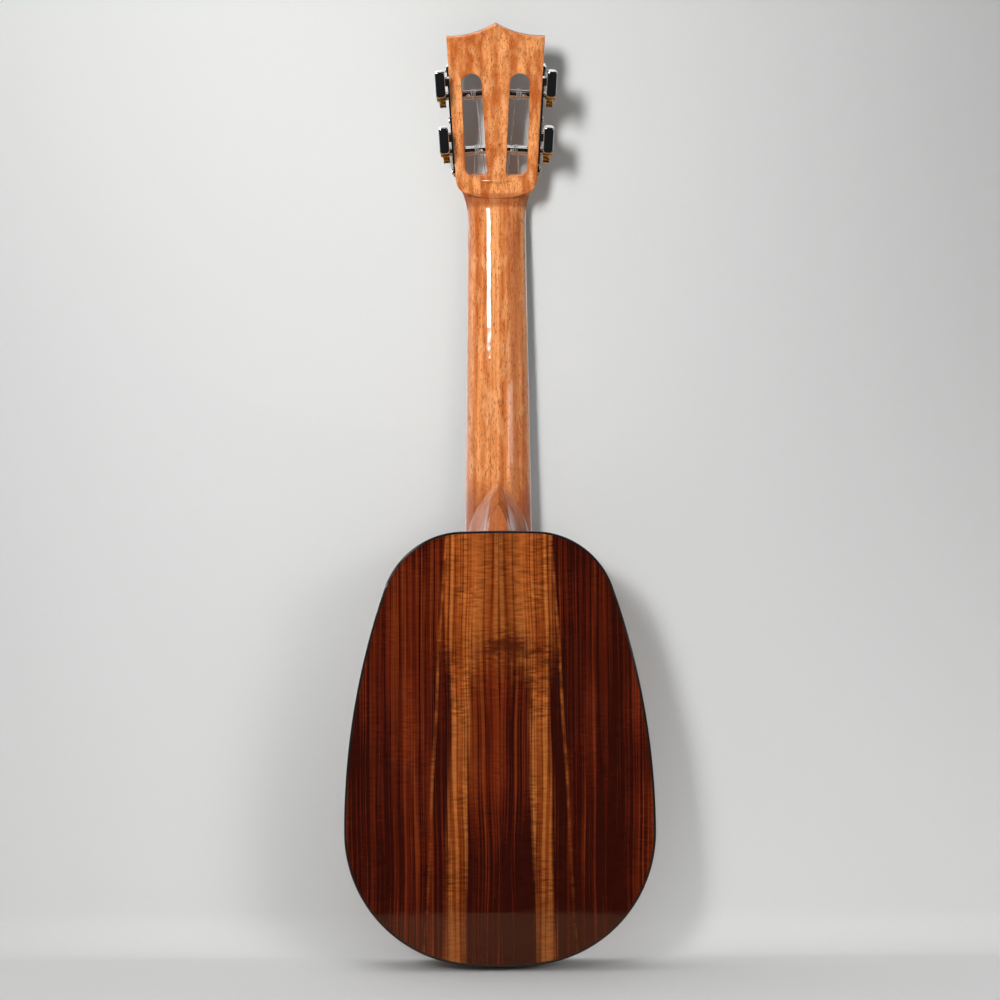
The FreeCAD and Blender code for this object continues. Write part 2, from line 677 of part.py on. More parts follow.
def neck_shaft():
    """The shaft widens evenly to the body and flares in a cubic to the head."""
    low = BODY_LENGTH - NECK_ROOT
    flare_top = HEAD_BASE + FLARE_TOP_ABOVE_NUT
    flare_low = flare_top - FLARE_LENGTH
    heights = [low + share * (flare_low - low) for share in NECK_SECTION_SHARES]
    heights += [flare_low + share * FLARE_LENGTH for share in FLARE_SHARES]
    sections = []
    for height in heights:
        rise = max(0, height - flare_low) / FLARE_LENGTH
        half = fretboard_half(height) + FLARE_REACH * rise ** 3
        sections.append(neck_section(half, neck_depth(height), height))
    return Part.makeLoft(sections, True, False)


def heel_section(depth, half_width, reach):
    """A pointed arch that stands on the body and points along the neck."""
    base = BODY_LENGTH - NECK_ROOT
    tip = (0, BODY_LENGTH + reach)
    rise = tip[1] - base
    middle = half_width / 2 + HEEL_ARCH_SHARE * rise
    shoulder = base + rise / 2

    steps = [
        [(half_width, base)],
        [(middle, shoulder), tip],
        [(-middle, shoulder), (-half_width, base)],
    ]
    return drawn_face(lambda x, z: on_body(x, depth, z), (-half_width, base), steps)


def heel():
    """The heel sweeps from the neck's width down to the small pointed cap."""
    wires = []
    for depth_share, width_share, reach_share in HEEL_SECTION_SHARES:
        half = BODY_JOINT_WIDTH / 2 * width_share
        reach = HEEL_BLEND_LENGTH * reach_share
        wires.append(heel_section(HEEL_DEPTH * depth_share, half, reach).OuterWire)
    return Part.makeLoft(wires, True, False)


def heel_cap():
    _, width_share, reach_share = HEEL_SECTION_SHARES[-1]
    half = BODY_JOINT_WIDTH / 2 * width_share
    face = heel_section(HEEL_DEPTH, half, HEEL_BLEND_LENGTH * reach_share)
    return face.extrude(Vector(0, HEEL_CAP_THICKNESS, 0))


def head_side(along):
    """Half the head's width at a place along it, on its straight sides."""
    return HEAD_LOW_HALF_WIDTH + HEAD_SLOPE * (along - HEAD_LOW)


def crest_steps():
    """The head's top edge: two hollow arcs that rise to a point."""
    crest_x = HEAD_CORNER_HALF_WIDTH / 2
    crest = (HEAD_CORNER + HEAD_TIP) / 2 - HEAD_CREST_SAG
    return [
        [(crest_x, crest), (0, HEAD_TIP)],
        [(-crest_x, crest), (-HEAD_CORNER_HALF_WIDTH, HEAD_CORNER)],
    ]


def head_slab():
    """The flat of the head, with the rounded lower edge seen from behind."""
    corner_x = (HEAD_LOW_HALF_WIDTH + HEAD_FOOT_HALF_WIDTH) / 2 + HEAD_FOOT_BULGE / 2
    corner = (HEAD_LOW + HEAD_FOOT) / 2 - HEAD_FOOT_BULGE
    steps = [[(HEAD_CORNER_HALF_WIDTH, HEAD_CORNER)]] + crest_steps()
    steps += [
        [(-HEAD_LOW_HALF_WIDTH, HEAD_LOW)],
        [(-corner_x, corner), (-HEAD_FOOT_HALF_WIDTH, HEAD_FOOT)],
        [(0, HEAD_FOOT - HEAD_FOOT_DROP), (HEAD_FOOT_HALF_WIDTH, HEAD_FOOT)],
        [(corner_x, corner), (HEAD_LOW_HALF_WIDTH, HEAD_LOW)],
    ]
    slab = head_prism((HEAD_LOW_HALF_WIDTH, HEAD_LOW), steps, 0, HEAD_THICKNESS)
    slab = slab.cut(Part.makeCompound([slot_cut(side, OVERRUN) for side in (-1, 1)]))
    level = on_head(0, 0, HEAD_THICKNESS).dot(HEAD_INWARD) - HEAD_EDGE_RADIUS / 2
    rim = [edge for edge in slab.Edges if edge_middle(edge).dot(HEAD_INWARD) > level]
    return slab.makeFillet(HEAD_EDGE_RADIUS, rim)


def slot_cut(side, widening):
    """One string slot, right through the head and its front plate."""
    inner_low = SLOT_WEB_LOW
    outer_low = SLOT_WEB_LOW + SLOT_WIDTH_LOW
    round_radius = SLOT_WIDTH_HIGH / 2
    inner_high = SLOT_WEB_HIGH
    outer_high = SLOT_WEB_HIGH + SLOT_WIDTH_HIGH
    shoulder = SLOT_HIGH - round_radius
    bend = SLOT_CORNER * (1 - math.sqrt(0.5))
    inner_bend = SLOT_INNER_CORNER * (1 - math.sqrt(0.5))
    start = (side * (inner_low + SLOT_INNER_CORNER), SLOT_LOW)
    steps = [
        [(side * (outer_low - SLOT_CORNER), SLOT_LOW)],
        [(side * (outer_low - bend), SLOT_LOW + bend), (side * outer_low, SLOT_LOW + SLOT_CORNER)],
        [(side * outer_high, shoulder)],
        [(side * (inner_high + outer_high) / 2, SLOT_HIGH), (side * inner_high, shoulder)],
        [(side * inner_low, SLOT_LOW + SLOT_INNER_CORNER)],
        [(side * (inner_low + inner_bend), SLOT_LOW + inner_bend), start],
    ]
    return head_prism(start, steps, -HEADPLATE_THICKNESS - widening, HEAD_THICKNESS + widening)


def slot_ramp(side):
    """The slope cut at the slot's lower end, where the outer string goes down."""
    left = min(side * SLOT_WEB_LOW, side * (SLOT_WEB_LOW + SLOT_WIDTH_LOW))
    low = SLOT_LOW - SLOT_RAMP_LENGTH
    high = SLOT_LOW + OVERRUN
    front = -HEADPLATE_THICKNESS
    floor = SLOT_RAMP_DEPTH + SLOT_RAMP_DEPTH * OVERRUN / SLOT_RAMP_LENGTH

    def place(along, inward):
        return on_head(left, along, front + inward)

    steps = [[(high, floor)], [(high, -OVERRUN)], [(low, -OVERRUN)], [(low, 0)]]
    face = drawn_face(place, (low, 0), steps)
    return face.extrude(Vector(SLOT_WIDTH_LOW, 0, 0))


def in_front_of_neck():
    """All that lies before the fretboard's seat or before the head's face."""
    reach = BODY_LENGTH
    before = block(-reach, reach, -reach, 0, BODY_LENGTH - NECK_ROOT - OVERRUN, HEAD_BASE)
    steps = [[(reach, -OVERRUN)], [(reach, reach)], [(-reach, reach)], [(-reach, -OVERRUN)]]
    tilted = head_prism((-reach, -OVERRUN), steps, -reach, 0)
    return before, tilted


def build_neck():
    """Neck, heel and head are carved from one piece of wood."""
    whole = joined([neck_shaft(), heel(), head_slab()])
    before, tilted = in_front_of_neck()
    whole = whole.cut(before).cut(tilted)
    whole = whole.cut(body_prism(0, -OVERRUN, BODY_DEPTH + OVERRUN))
    cutters = [slot_ramp(side) for side in (-1, 1)]
    cutters += dowel_set().Solids
    for tuner in TUNERS:
        cutters.append(roller_bore(tuner))
    for hole in plate_screw_shanks():
        cutters.append(hole)
    parts["neck"] = whole.cut(Part.makeCompound(cutters))
    cap = heel_cap().cut(body_prism(0, -OVERRUN, BODY_DEPTH + OVERRUN))
    parts["heel_cap"] = cap
    parts["neck_dowels"] = dowel_set()


def build_headplate():
    """A thin plate on the head's face, from the nut to the crest."""
    nut_half = NUT_WIDTH / 2
    flare_x = nut_half + (HEAD_LOW_HALF_WIDTH - nut_half) * HEADPLATE_FLARE_SHARE ** 3
    flare_rise = HEAD_LOW * HEADPLATE_FLARE_SHARE
    steps = [
        [(nut_half, 0)],
        [(flare_x, flare_rise), (HEAD_LOW_HALF_WIDTH, HEAD_LOW)],
        [(HEAD_CORNER_HALF_WIDTH, HEAD_CORNER)],
    ]
    steps += crest_steps()
    steps += [
        [(-HEAD_LOW_HALF_WIDTH, HEAD_LOW)],
        [(-flare_x, flare_rise), (-nut_half, 0)],
    ]
    plate = head_prism((-nut_half, 0), steps, -HEADPLATE_THICKNESS, 0)
    nut_room = block(-BODY_WIDTH, BODY_WIDTH, -BODY_DEPTH, BODY_DEPTH, NUT_HEIGHT, HEAD_BASE)
    cutters = [slot_cut(side, OVERRUN) for side in (-1, 1)]
    cutters += [slot_ramp(side) for side in (-1, 1)]
    parts["headplate"] = plate.cut(Part.makeCompound(cutters + [nut_room]))


def nut_string_x(number):
    return (number - 1.5) * NUT_STRING_SPACING


def saddle_string_x(number):
    return (number - 1.5) * SADDLE_STRING_SPACING


def build_nut():
    """The nut stands across the neck's end, with one slot for each string."""
    half = NUT_WIDTH / 2
    crown = NUT_FLOOR_RISE + NUT_CROWN
    blank = block(-half, half, -crown, 0, NUT_HEIGHT, HEAD_BASE)

    def top_back(edge):
        point = edge_middle(edge)
        high = point.y < FRONT_Y - crown + NUT_CROWN / 2
        return high and point.z > HEAD_BASE - NUT_CROWN / 2

    blank = softened(blank, top_back, NUT_THICKNESS / 2)
    fall = (NUT_THICKNESS + OVERRUN - NUT_FLOOR_LENGTH) * math.tan(math.radians(NUT_SLOT_ANGLE))
    slots = []
    for number in range(4):
        left = nut_string_x(number) - NUT_SLOT_WIDTH / 2

        def place(along, rise):
            return on_body(left, -rise, NUT_HEIGHT + along)

        end = NUT_THICKNESS + OVERRUN
        steps = [
            [(NUT_FLOOR_LENGTH, NUT_FLOOR_RISE)],
            [(end, NUT_FLOOR_RISE - fall)],
            [(end, crown + OVERRUN)],
            [(-OVERRUN, crown + OVERRUN)],
            [(-OVERRUN, NUT_FLOOR_RISE)],
        ]
        face = drawn_face(place, (-OVERRUN, NUT_FLOOR_RISE), steps)
        slots.append(face.extrude(Vector(NUT_SLOT_WIDTH, 0, 0)))
    parts["nut"] = blank.cut(Part.makeCompound(slots))


def build_bridge():
    """Bridge with thin wings, a slot for the saddle and a keyhole per string."""
    half = BRIDGE_LENGTH / 2
    middle = half - BRIDGE_WING_LENGTH
    bend_x = (half + middle) / 2
    bend_rise = BRIDGE_WING_HEIGHT + (BRIDGE_HEIGHT - BRIDGE_WING_HEIGHT) / 4
    steps = [
        [(half, 0)],
        [(half, BRIDGE_WING_HEIGHT)],
        [(bend_x, bend_rise), (middle, BRIDGE_HEIGHT)],
        [(-middle, BRIDGE_HEIGHT)],
        [(-bend_x, bend_rise), (-half, BRIDGE_WING_HEIGHT)],
        [(-half, 0)],
    ]
    face = drawn_face(lambda x, rise: on_body(x, -rise, BRIDGE_BOTTOM), (-half, 0), steps)
    bridge = face.extrude(Vector(0, 0, BRIDGE_WIDTH))

    def upper_long(edge):
        point = edge_middle(edge)
        raised = point.y < FRONT_Y - BRIDGE_HEIGHT + BRIDGE_EDGE_RADIUS
        return raised and edge.Length > 2 * middle - BRIDGE_EDGE_RADIUS

    bridge = softened(bridge, upper_long, BRIDGE_EDGE_RADIUS)
    cutters = [saddle_blank(SADDLE_SLOT_CLEARANCE, BRIDGE_HEIGHT + OVERRUN)]
    slot_high = SADDLE_HEIGHT - SADDLE_THICKNESS / 2 - STRING_SLOT_END_GAP
    for number in range(4):
        x = saddle_string_x(number)
        low = KNOT_RISE - KNOT_BORE_RADIUS
        cutters.append(block(x - STRING_SLOT_WIDTH / 2, x + STRING_SLOT_WIDTH / 2,
                             -BRIDGE_HEIGHT - OVERRUN, -low,
                             BRIDGE_BOTTOM - OVERRUN, slot_high))
        mouth = on_body(x, -KNOT_RISE, BRIDGE_BOTTOM - OVERRUN)
        cutters.append(Part.makeCylinder(KNOT_BORE_RADIUS, KNOT_BORE_DEPTH + OVERRUN, mouth,
                                         Vector(0, 0, 1)))
    for cutter in cutters:
        bridge = bridge.cut(cutter)
    parts["bridge"] = bridge
    saddle = saddle_blank(0, SADDLE_RISE)

    def top_long(edge):
        point = edge_middle(edge)
        at_top = point.y < FRONT_Y - SADDLE_RISE + SADDLE_THICKNESS / 4
        return at_top and edge.Length > SADDLE_LENGTH / 2

    parts["saddle"] = softened(saddle, top_long, SADDLE_CROWN_RADIUS)


def saddle_blank(clearance, rise):
    half = SADDLE_LENGTH / 2 + clearance
    side = SADDLE_THICKNESS / 2 + clearance
    floor = BRIDGE_HEIGHT - SADDLE_SLOT_DEPTH
    return block(-half, half, -rise, -floor, SADDLE_HEIGHT - side, SADDLE_HEIGHT + side)


# Each tuning machine is drawn about its roller: local X points out of the
# head's side, local Z towards the head's back, and local Y along the side.
# The worm lies on the side of the roller that is nearer to the head's tip.

class Tuner:
    def __init__(self, side, along):
        self.side = side
        self.along = along
        self.name = ("bass_" if side < 0 else "treble_") + (
            "lower" if along == ROLLER_LOW else "upper")
        self.towards_tip = 1 if side < 0 else -1
        self.origin = on_head(side * head_side(along), along, ROLLER_INSET)
        tip = on_head(side * HEAD_CORNER_HALF_WIDTH, HEAD_CORNER, ROLLER_INSET) - self.origin
        tip.normalize()
        self.inward = HEAD_INWARD
        self.outward = tip.cross(self.inward) * self.towards_tip
        self.across = self.inward.cross(self.outward)
        a, b, c, o = self.outward, self.across, self.inward, self.origin
        self.placement = Placement(Matrix(
            a.x, b.x, c.x, o.x,
            a.y, b.y, c.y, o.y,
            a.z, b.z, c.z, o.z,
            0, 0, 0, 1))

    def placed(self, shape):
        moved = shape.copy()
        moved.Placement = self.placement.multiply(shape.Placement)
        return moved


TUNERS = [Tuner(side, along) for side in (-1, 1) for along in (ROLLER_LOW, ROLLER_HIGH)]


def rod(radius, start, end, centre_y=0.0):
    """A round bar along local X."""
    return Part.makeCylinder(radius, end - start, Vector(start, centre_y, 0), Vector(1, 0, 0))


def post(radius, start, end, x, y):
    """A round bar along local Z."""
    return Part.makeCylinder(radius, end - start, Vector(x, y, start), Vector(0, 0, 1))


def roller_bore(tuner):
    """The hole for a roller through the head's rail and into its middle web."""
    deep = ROLLER_LENGTH + ROLLER_BORE_END_GAP
    return tuner.placed(rod(ROLLER_RADIUS + ROLLER_WOOD_CLEARANCE, -deep, OVERRUN))


def winding_place(tuner):
    return -OUTER_WINDING_PLACE if tuner.along == ROLLER_LOW else -INNER_WINDING_PLACE


def string_hole_place(tuner):
    """The hole lies one winding step beyond the last turn of the string."""
    number = TUNER_NAMES.index(tuner.name)
    step = STRING_DIAMETERS[number] + WINDING_GAP
    return winding_place(tuner) + winding_way(tuner) * (WINDING_TURN_COUNT + 1) * step


def winding_way(tuner):
    """Outer strings wind towards the middle of the head, inner ones outwards."""
    return -1 if tuner.along == ROLLER_LOW else 1


def build_roller(tuner):
    bar = rod(ROLLER_RADIUS, -ROLLER_LENGTH, GEAR_START)
    seat = rod(GEAR_SEAT_RADIUS, GEAR_START - OVERRUN, GEAR_END - GEAR_SEAT_CLEARANCE)
    whole = joined([bar, seat])
    hole_end = ROLLER_RADIUS + OVERRUN
    string_hole = post(STRING_HOLE_RADIUS, -hole_end, hole_end, string_hole_place(tuner), 0)
    screw_hole = rod(GEAR_SCREW_RADIUS, GEAR_END - GEAR_SCREW_DEPTH, GEAR_END + OVERRUN)
    whole = whole.cut(string_hole).cut(screw_hole)
    parts["roller_" + tuner.name] = tuner.placed(whole)


def tooth_half_angle(radius):
    """Half the angle that a gear tooth fills at a radius, with involute flanks."""
    pressure = math.radians(PRESSURE_ANGLE)
    base = GEAR_RADIUS * math.cos(pressure)
    here = math.acos(min(1.0, base / radius))
    middle = GEAR_PITCH * TOOTH_SHARE / (2 * GEAR_RADIUS)
    return middle + (math.tan(pressure) - pressure) - (math.tan(here) - here)


def gear_wire(x, turn):
    """The toothed outline of the gear at one place along its axis."""
    radii = (GEAR_RADIUS - DEDENDUM, GEAR_RADIUS, GEAR_RADIUS + ADDENDUM)
    points = []
    for tooth in range(GEAR_TOOTH_COUNT):
        centre = turn + (tooth + 0.5) * 2 * math.pi / GEAR_TOOTH_COUNT
        for radius in radii:
            angle = centre - tooth_half_angle(radius)
            points.append(Vector(x, radius * math.cos(angle), radius * math.sin(angle)))
        for radius in reversed(radii):
            angle = centre + tooth_half_angle(radius)
            points.append(Vector(x, radius * math.cos(angle), radius * math.sin(angle)))
    return Part.makePolygon(points + points[:1])


def gear_blank():
    """A brass wheel whose teeth lean with the worm's thread."""
    lead_slope = GEAR_PITCH / (2 * math.pi * WORM_PITCH_RADIUS)
    turns = [lead_slope * (x - WORM_HEIGHT) / GEAR_RADIUS for x in (GEAR_START, GEAR_END)]
    wires = [gear_wire(x, turn) for x, turn in zip((GEAR_START, GEAR_END), turns)]
    wheel = Part.makeLoft(wires, True, True)
    return wheel.cut(rod(GEAR_SEAT_RADIUS + GEAR_SEAT_CLEARANCE, 0, GEAR_END + OVERRUN))


def worm_thread():
    """One thread of a right-hand screw, run past both ends of the worm."""
    height = WORM_LENGTH + 2 * GEAR_PITCH
    helix = Part.makeHelix(GEAR_PITCH, height, WORM_PITCH_RADIUS)
    slope = math.tan(math.radians(PRESSURE_ANGLE))
    half = GEAR_PITCH * THREAD_SHARE / 2
    inner = WORM_PITCH_RADIUS - DEDENDUM * THREAD_ROOT_SHARE
    outer = WORM_PITCH_RADIUS + ADDENDUM
    wide = half + slope * (WORM_PITCH_RADIUS - inner)
    narrow = half - slope * ADDENDUM
    corners = [(inner, -wide), (outer, -narrow), (outer, narrow), (inner, wide), (inner, -wide)]
    profile = Part.makePolygon([Vector(radius, 0, z) for radius, z in corners])
    thread = Part.Wire(helix).makePipeShell([profile], True, True)
    # The helix starts at angle zero, half its height below the mesh, so this
    # turn brings a crest to the middle of the side that faces the gear.
    phase = -90.0 - 360.0 * height / 2 / GEAR_PITCH
    thread.rotate(Vector(0, 0, 0), Vector(0, 0, 1), phase)
    thread.translate(Vector(0, 0, -height / 2))
    return thread


def worm_blank():
    """Worm, journals and stem as one steel piece along local Z at the origin."""
    root = WORM_PITCH_RADIUS - DEDENDUM
    half = WORM_LENGTH / 2
    core = post(root, -half, half, 0, 0)
    trim = post(WORM_PITCH_RADIUS + ADDENDUM + OVERRUN, -half, half, 0, 0)
    thread = worm_thread().common(trim)
    shaft = post(JOURNAL_RADIUS, -LUG_END, BUTTON_START + BUTTON_SOCKET_DEPTH, 0, 0)
    stem = post(STEM_RADIUS, LUG_END + STEM_GAP, BUTTON_START, 0, 0)
    return joined([core, thread, shaft, stem])


def button_blank():
    """An oblong cast button, with its long side along local Y."""
    half_x = BUTTON_WIDTH / 2
    half_y = BUTTON_HEIGHT / 2
    box = Part.makeBox(BUTTON_WIDTH, BUTTON_HEIGHT, BUTTON_LENGTH,
                       Vector(-half_x, -half_y, BUTTON_START))
    middle = BUTTON_START + BUTTON_LENGTH / 2
    upright = [edge for edge in box.Edges
               if abs(edge_middle(edge).z - middle) < BUTTON_ROUNDING]
    box = box.makeFillet(BUTTON_CORNER, upright)
    ends = [edge for edge in box.Edges
            if abs(edge_middle(edge).z - middle) > BUTTON_LENGTH / 2 - BUTTON_ROUNDING]
    box = box.makeFillet(BUTTON_ROUNDING, ends)
    socket = post(JOURNAL_RADIUS + BUTTON_SOCKET_CLEARANCE, BUTTON_START - OVERRUN,
                  BUTTON_START + BUTTON_SOCKET_DEPTH + BUTTON_SOCKET_CLEARANCE, 0, 0)
    return box.cut(socket)


def gear_screw_blank():
    """The slotted screw that holds the gear on the roller's end."""
    head = rod(GEAR_SCREW_HEAD_RADIUS, GEAR_END, GEAR_END + GEAR_SCREW_HEAD_HEIGHT)
    rim = [edge for edge in head.Edges
           if edge_middle(edge).x > GEAR_END + GEAR_SCREW_HEAD_HEIGHT / 2 and edge.Closed]
    head = head.makeFillet(GEAR_SCREW_HEAD_HEIGHT / 3, rim[:1])
    shank = rod(GEAR_SCREW_RADIUS, GEAR_END - GEAR_SCREW_DEPTH + GEAR_SEAT_CLEARANCE, GEAR_END)
    top = GEAR_END + GEAR_SCREW_HEAD_HEIGHT
    half = SCREW_SLOT_WIDTH / 2
    wide = GEAR_SCREW_HEAD_RADIUS + OVERRUN
    slot = Part.makeBox(SCREW_SLOT_DEPTH + OVERRUN, 2 * half, 2 * wide,
                        Vector(top - SCREW_SLOT_DEPTH, -half, -wide))
    return joined([head, shank]).cut(slot)


def plate_screw_places():
    """Places of the three screws of a plate, along local Y of the lower tuner."""
    low = -PLATE_OVERHANG - PLATE_END_REACH
    high = ROLLER_SPACING + CENTRE_DISTANCE + PLATE_OVERHANG / 2 + PLATE_END_REACH
    middle = (CENTRE_DISTANCE + LUG_HALF_WIDTH + ROLLER_SPACING - GEAR_RADIUS - ADDENDUM) / 2
    return low, middle, high


def plate_screw_shanks():
    shanks = []
    for side in (-1, 1):
        tuner = lower_tuner(side)
        for place in plate_screw_places():
            y = tuner.towards_tip * place
            shank = rod(SCREW_SHANK_RADIUS, -SCREW_LENGTH, PLATE_THICKNESS, y)
            shanks.append(tuner.placed(shank))
    return shanks


def lower_tuner(side):
    return next(t for t in TUNERS if t.side == side and t.along == ROLLER_LOW)


def build_plate_screws():
    screws = []
    for side in (-1, 1):
        tuner = lower_tuner(side)
        for place in plate_screw_places():
            y = tuner.towards_tip * place
            shank = rod(SCREW_SHANK_RADIUS, -SCREW_LENGTH, PLATE_THICKNESS, y)
            top = PLATE_THICKNESS + SCREW_HEAD_HEIGHT
            head = rod(SCREW_HEAD_RADIUS, PLATE_THICKNESS, top, y)
            rim = [edge for edge in head.Edges
                   if edge_middle(edge).x > PLATE_THICKNESS + SCREW_HEAD_HEIGHT / 2 and edge.Closed]
            head = head.makeFillet(SCREW_HEAD_HEIGHT / 2, rim[:1])
            half = SCREW_SLOT_WIDTH / 2
            wide = SCREW_HEAD_RADIUS + OVERRUN
            slot = Part.makeBox(SCREW_SLOT_DEPTH + OVERRUN, 2 * half, 2 * wide,
                                Vector(top - SCREW_SLOT_DEPTH, y - half, -wide))
            screws.append(tuner.placed(joined([shank, head]).cut(slot)))
    parts["plate_screws"] = Part.makeCompound(screws)


def plate_lug(y, start):
    """An upright ear with a bearing hole for the worm's journal."""
    foot = Part.makeBox(WORM_HEIGHT - PLATE_THICKNESS / 2, 2 * LUG_HALF_WIDTH, LUG_THICKNESS,
                        Vector(PLATE_THICKNESS / 2, y - LUG_HALF_WIDTH, start))
    crown = post(LUG_HALF_WIDTH, start, start + LUG_THICKNESS, WORM_HEIGHT, y)
    return joined([foot, crown])


def build_plate(side):
    """One plate carries both machines of its side, with ears for the worms."""
    tuner = lower_tuner(side)
    way = tuner.towards_tip
    low, middle, high = plate_screw_places()
    bottom = low + PLATE_END_REACH
    top = high - PLATE_END_REACH
    half = PLATE_WIDTH / 2

    def plate_box(y0, y1, z0, z1):
        left = min(way * y0, way * y1)
        return Part.makeBox(PLATE_THICKNESS, abs(y1 - y0), z1 - z0, Vector(0, left, z0))

    pieces = [plate_box(bottom, top, -half, half)]
    for place, edge in ((low, bottom), (high, top)):
        pieces.append(rod(PLATE_END_RADIUS, 0, PLATE_THICKNESS, way * place))
        pieces.append(plate_box(place, edge, -PLATE_END_RADIUS, PLATE_END_RADIUS))
    plate = joined(pieces)
    for edge in (bottom, top):
        for z in (-half, half):
            centre = Vector(-OVERRUN, way * edge, z)
            plate = plate.cut(Part.makeCylinder(
                PLATE_SCALLOP_RADIUS, PLATE_THICKNESS + 2 * OVERRUN, centre, Vector(1, 0, 0)))
    lugs = []
    for offset in (0, ROLLER_SPACING):
        worm_y = way * (offset + CENTRE_DISTANCE)
        lugs.append(plate_lug(worm_y, LUG_START))
        lugs.append(plate_lug(worm_y, -LUG_END))
    plate = joined([plate] + lugs)
    cutters = []
    for offset in (0, ROLLER_SPACING):
        cutters.append(rod(ROLLER_RADIUS + ROLLER_RUNNING_CLEARANCE, -OVERRUN,
                           PLATE_THICKNESS + OVERRUN, way * offset))
        cutters.append(post(JOURNAL_RADIUS + JOURNAL_CLEARANCE, -LUG_END - OVERRUN,
                            LUG_END + OVERRUN, WORM_HEIGHT, way * (offset + CENTRE_DISTANCE)))
    for place in (low, middle, high):
        cutters.append(rod(SCREW_SHANK_RADIUS, -OVERRUN, PLATE_THICKNESS + OVERRUN, way * place))
    name = "tuner_plate_bass" if side < 0 else "tuner_plate_treble"
    parts[name] = tuner.placed(plate.cut(Part.makeCompound(cutters)))


def build_tuners():
    gear = gear_blank()
    button = button_blank()
    gear_screw = gear_screw_blank()
    worm = worm_blank()
    for side in (-1, 1):
        build_plate(side)
    build_plate_screws()
    for tuner in TUNERS:
        way = tuner.towards_tip
        build_roller(tuner)
        half_turn = 180 if way < 0 else 0
        meshed = gear.copy()
        meshed.rotate(Vector(0, 0, 0), Vector(1, 0, 0), half_turn)
        parts["gear_" + tuner.name] = tuner.placed(meshed)
        parts["gear_screw_" + tuner.name] = tuner.placed(gear_screw)
        for kind, blank in (("worm_", worm), ("button_", button)):
            shifted = blank.copy()
            shifted.rotate(Vector(0, 0, 0), Vector(0, 0, 1), half_turn)
            shifted.translate(Vector(WORM_HEIGHT, way * CENTRE_DISTANCE, 0))
            parts[kind + tuner.name] = tuner.placed(shifted)


# Each turn of a string is four biarcs, which is eight arcs.
# Each string is one unbroken cord from its knot in the bridge, over the
# saddle and the nut, to the turns on its roller. The outer strings go to the
# lower rollers and the inner strings to the upper ones.

STRING_NAMES = ("fourth", "third", "second", "first")
TUNER_NAMES = ("bass_lower", "bass_upper", "treble_upper", "treble_lower")
ARC_SAMPLE_COUNT = 8


def tangent_bend(before, corner, after, radius):
    """The arc that rounds a corner: its start, middle and end points."""
    back = (before - corner).normalize()
    ahead = (after - corner).normalize()
    half_angle = back.getAngle(ahead) / 2
    trim = radius / math.tan(half_angle)
    centre_way = (back + ahead).normalize()
    to_arc = radius / math.sin(half_angle) - radius
    return corner + back * trim, corner + centre_way * to_arc, corner + ahead * trim


def corner_over(before, centre, after, radius):
    """The corner whose rounding arc has the given centre and radius."""
    corner = centre
    for _ in range(4):
        arriving = (corner - before).normalize()
        leaving = (after - corner).normalize()
        half_turn = arriving.getAngle(leaving) / 2
        inward = (leaving - arriving).normalize()
        corner = centre - inward * (radius / math.cos(half_turn))
    return corner


def biarc(start, start_way, end, end_way):
    """Two arcs that leave and arrive in the given directions."""
    chord = end - start
    ways = start_way + end_way
    spread = 2 * (1 - start_way.dot(end_way))
    reach = (-chord.dot(ways) + math.sqrt(chord.dot(ways) ** 2 + spread * chord.dot(chord))) / spread
    middle = (start + start_way * reach + end - end_way * reach) * 0.5
    arcs = []
    for first, apex, last in ((start, start + start_way * reach, middle),
                              (middle, end - end_way * reach, end)):
        centre = (first + last) * 0.5
        lean = first.distanceToPoint(last) / 2 / reach
        arcs.append(Part.Arc(first, centre + (apex - centre) * (lean / (1 + lean)), last).toShape())
    return arcs


def winding_points(tuner, nut_point, diameter):
    """Points and directions a quarter turn apart, from the front of the roller."""
    axis = tuner.outward * winding_way(tuner)
    pole = tuner.origin + tuner.outward * winding_place(tuner)
    radius = ROLLER_RADIUS + WINDING_CLEARANCE + diameter / 2
    step = diameter + WINDING_GAP
    to_nut = nut_point - pole
    flat = to_nut - axis * to_nut.dot(axis)
    away = flat.Length
    flat.normalize()
    front = HEAD_INWARD * -1
    side = (front - flat * front.dot(flat)).normalize()
    opening = math.acos(radius / away)
    first = flat * math.cos(opening) + side * math.sin(opening)
    ahead = side * math.cos(opening) - flat * math.sin(opening)
    points = []
    for quarter in range(4 * WINDING_TURN_COUNT + 1):
        turn = quarter * math.pi / 2
        out = first * math.cos(turn) + ahead * math.sin(turn)
        way = ahead * math.cos(turn) - first * math.sin(turn)
        place = pole + out * radius + axis * (step * quarter / 4)
        way = (way * (2 * math.pi * radius) + axis * step).normalize()
        points.append((place, way))
    return points


